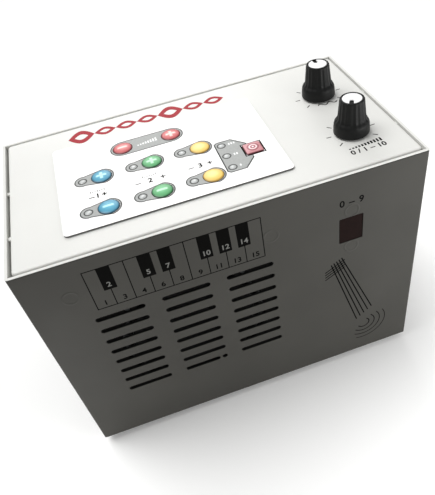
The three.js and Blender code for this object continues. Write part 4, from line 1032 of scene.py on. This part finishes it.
# %% Print the digits' range and the strings
chart.append(lettering("0 – 9", 4.4, on_front(183.2, 19.4), 0.14, 1.15))
strings = [stroke([on_front(170.5 + 1.7 * n, 65 - 0.9 * n), on_front(189 + 2.7 * n, 127 - 2.2 * n)], 0.8)
           for n in range(5)]
head = [stroke([on_front(166.5, 70.5 + 2.2 * n), on_front(179.5, 63.5 + 2.2 * n)], 0.7) for n in range(4)]
ripples = [stroke(arc_points(on_front(194.5, 134), 4.2 + 4 * n, -150 + 14 * n, 60 - 10 * n), 0.75 - 0.08 * n)
           for n in range(4)]
chart += [flat([line]) for line in strings + head + ripples]
piece("print_front", stood_up(lifted(joined(*chart), INK / 2), front), dark_ink)
piece("print_front_numbers", stood_up(lifted(joined(*light_numbers), INK * 1.4), front),
      printed("pale_ink", ink(102, 102, 99)))

# %% [markdown]
# ## Finishes inside and below
# The parts inside are seen through the slots and when the box is open. Each keeps its CAD shape
# and gets the finish of its real material. The window is a dark red filter that hides the digit
# while it is off.


# %% Make the inner finishes
def plain(name, colour, rough, metal=0.0, drift=0.08, per_mm=0.15, bump=0.01, bump_scale=1.0,
          stretch=(1, 1, 1), specular=0.5):
    """A finish with slow colour clouds, uneven gloss and a fine relief."""
    finish = Finish(name, metallic=metal, specular=specular)
    finish.give("Base Color", finish.clouded(colour, drift, per_mm))
    finish.give("Roughness", rough + 0.15 * finish.grain(per_mm * 3, 4.0))
    finish.give("Normal", finish.relief(finish.grain(bump_scale, 3.0, 0.6, stretch), bump))
    return finish


steel = plain("plated_steel", ink(176, 178, 176), 0.3, 0.9)
rubber = plain("foot_rubber", ink(30, 30, 31), 0.7, bump=0.03)
socket_plastic = plain("socket_plastic", ink(26, 26, 27), 0.4)
dress(shell_paint, "base_plate")
dress(plain("baffle_board", ink(7, 7, 6), 0.8, per_mm=0.4, bump=0.05, stretch=(0.2, 1, 3), specular=0.1),
      "speaker_baffle")
dress(plain("gasket_felt", ink(24, 24, 25), 0.9, bump=0.08, bump_scale=3.0), "speaker_gasket")
dress(plain("basket_steel", ink(70, 72, 72), 0.4, 0.7), "speaker_basket", "baffle_clip")
dress(plain("cone_paper", ink(13, 13, 14), 0.85, drift=0.2, bump=0.06, bump_scale=0.8),
      "speaker_cone", "speaker_dust_cap")
dress(plain("surround_rubber", ink(18, 18, 19), 0.6), "speaker_surround")
dress(plain("magnet_ferrite", ink(46, 46, 48), 0.55, bump=0.03), "speaker_magnet")
dress(steel, "speaker_front_plate", "speaker_pole", "transformer_strap", "volume_shaft", "tone_shaft",
      "volume_pot_nut", "tone_pot_nut")
dress(plain("pot_metal", ink(150, 146, 132), 0.35, 0.8), "volume_pot", "tone_pot")
dress(plain("red_filter", ink(23, 12, 10), 0.5, drift=0.12, per_mm=0.2, bump=0.004, specular=0.04),
      "display_filter")
dress(plain("digit_plastic", ink(44, 40, 40), 0.4), "display_digit")
dress(plain("circuit_board", ink(30, 92, 58), 0.4, drift=0.2, per_mm=0.6), "display_board", "main_board")
dress(plain("circuit_film", ink(60, 61, 60), 0.35), "keypad_circuit")
dress(plain("sink_aluminium", ink(190, 192, 194), 0.35, 0.9, stretch=(1, 8, 1)), "heat_sink")
dress(plain("core_steel", ink(88, 84, 80), 0.5, 0.7, bump=0.06, stretch=(1, 12, 1)), "transformer_core")
dress(plain("winding_tape", ink(226, 196, 96), 0.4), "transformer_winding")
dress(plain("lead_insulation", ink(92, 94, 97), 0.45), *[
    f"{name}_lead" for name in ("speaker", "volume", "tone", "mains", "transformer", "line_out", "display")])

# %% [markdown]
# ## Feet and screws
# Four rubber feet stand on the table. Each is a spun profile with soft edges and a deep recess,
# so that its screw never touches the table. Six more pan-head screws close the base plate. A
# screw's head is spun, and two crossed bars press its recess.

# %% Turn the feet
foot_names = [f"{a}_{b}" for a in ("front", "back") for b in ("left", "right")]
foot = [(1.7, bottom), (7.5, bottom), (7.5, 4.6), (7.3, 2.2), (7.0, 0.9), (6.6, 0.25), (6.0, 0), (4.0, 0),
        (3.5, 0.15), (3.12, 0.6), (3.12, 3.0), (1.7, 3.0), (1.7, bottom)]
for name in foot_names:
    at = middle(f"foot_{name}")
    piece(f"{name}_foot_pad", turned(foot, 48, (at.x, at.y)), rubber,
          stands_for=[f"foot_{name}"], crease=50)


# %% Head the screws
def screw_head(radius, rise):
    """A pan head that hangs below height zero, with a crossed recess."""
    profile = [(0, 0), (radius, 0), (radius, -0.4 * rise), (0.94 * radius, -0.7 * rise),
               (0.78 * radius, -0.92 * rise), (0.55 * radius, -rise), (0, -rise)]
    long, wide = 1.15 * radius, 0.28 * radius
    bars = [carry(size, 0.1, [(0.1, floor * rise), (0, -rise - 0.5)], arc=1)
            for size, floor in (((long, wide), -0.35), ((wide, long), -0.348))]
    return cut(turned(profile, 32), *bars)


screw_places = [(x, y) for y in (-58.75, 54.25) for x in (-89.5, 0, 89.5)]
base_screws = set_out(lambda: screw_head(2.8, 1.8), screw_places)
piece("base_screws", lifted(base_screws, bottom), steel)
dress(steel, *[f"foot_screw_{name}" for name in foot_names])

# %% [markdown]
# ## Sockets at the back
# The mains inlet is a moulded flange with a well for a two-pole lead: two round ends and a
# waist. The flange is carried up with a bevelled rim, and the well is pressed out of it with
# three cutters that overlap. The line-out socket has a threaded bush and a six-sided nut.

# %% Mould the inlet
INLET_FACE, WELL_FLOOR, WELL_RADIUS, WAIST, PIN_HALF = 2.0, -12, 4.7, 7.6, 4.3
pole_places, waist = ((-PIN_HALF, 0), (PIN_HALF, 0)), (2 * PIN_HALF, WAIST)
flange = carry((30, 17), 3, [(0, 0), (0, 1.3), (0.2, 1.75), (0.6, INLET_FACE)])
body = carry((24, 13), 1.5, [(0, -18), (0, 0)])
flared = [(0, WELL_FLOOR), (0, INLET_FACE - 0.35), (-0.35, INLET_FACE + 0.2)]
well = [(0, WELL_FLOOR)] + [(WELL_RADIUS - inset, z) for inset, z in flared] + [(0, INLET_FACE + 0.2)]
flange = cut(flange, *[turned(well, 40, at) for at in pole_places], carry(waist, 0.1, flared, arc=1))
body = cut(body, *[pin(WELL_RADIUS, WELL_FLOOR, 1, at) for at in pole_places],
           carry(waist, 0.1, [(0, WELL_FLOOR), (0, 1)], arc=1))
pole = [(0, -21), (1.2, -21), (1.2, -3.6), (0.9, -3.1), (0.4, -2.9), (0, -2.9)]
moulding = joined(flange, body, set_out(lambda: turned(pole, 24), pole_places))
moulding = moved(stood_up(moulding, back, True), (inlet.x, 0, inlet.z))
piece("inlet_moulding", moulding, socket_plastic, stands_for=["mains_inlet"], crease=40)

# %% Thread the jack and its nut
dress(socket_plastic, "line_out_jack")
thread = [(4.6, 1.9)] + [(4.82 + 0.2 * (n % 2), 1.9 + 0.2 * n) for n in range(12)] + [(4.6, 4.2), (4.6, 1.9)]
nut = cut(turned([(0, 0.02), (7, 0.02), (7, 1.6), (6.6, 2), (0, 2)], 6), pin(5, -1, 3))
collar = moved(stood_up(joined(turned(thread, 48), nut), back, True), (jack.x, 0, jack.z))
piece("jack_nut_and_thread", collar, steel, stands_for=["line_out_nut"], crease=30)
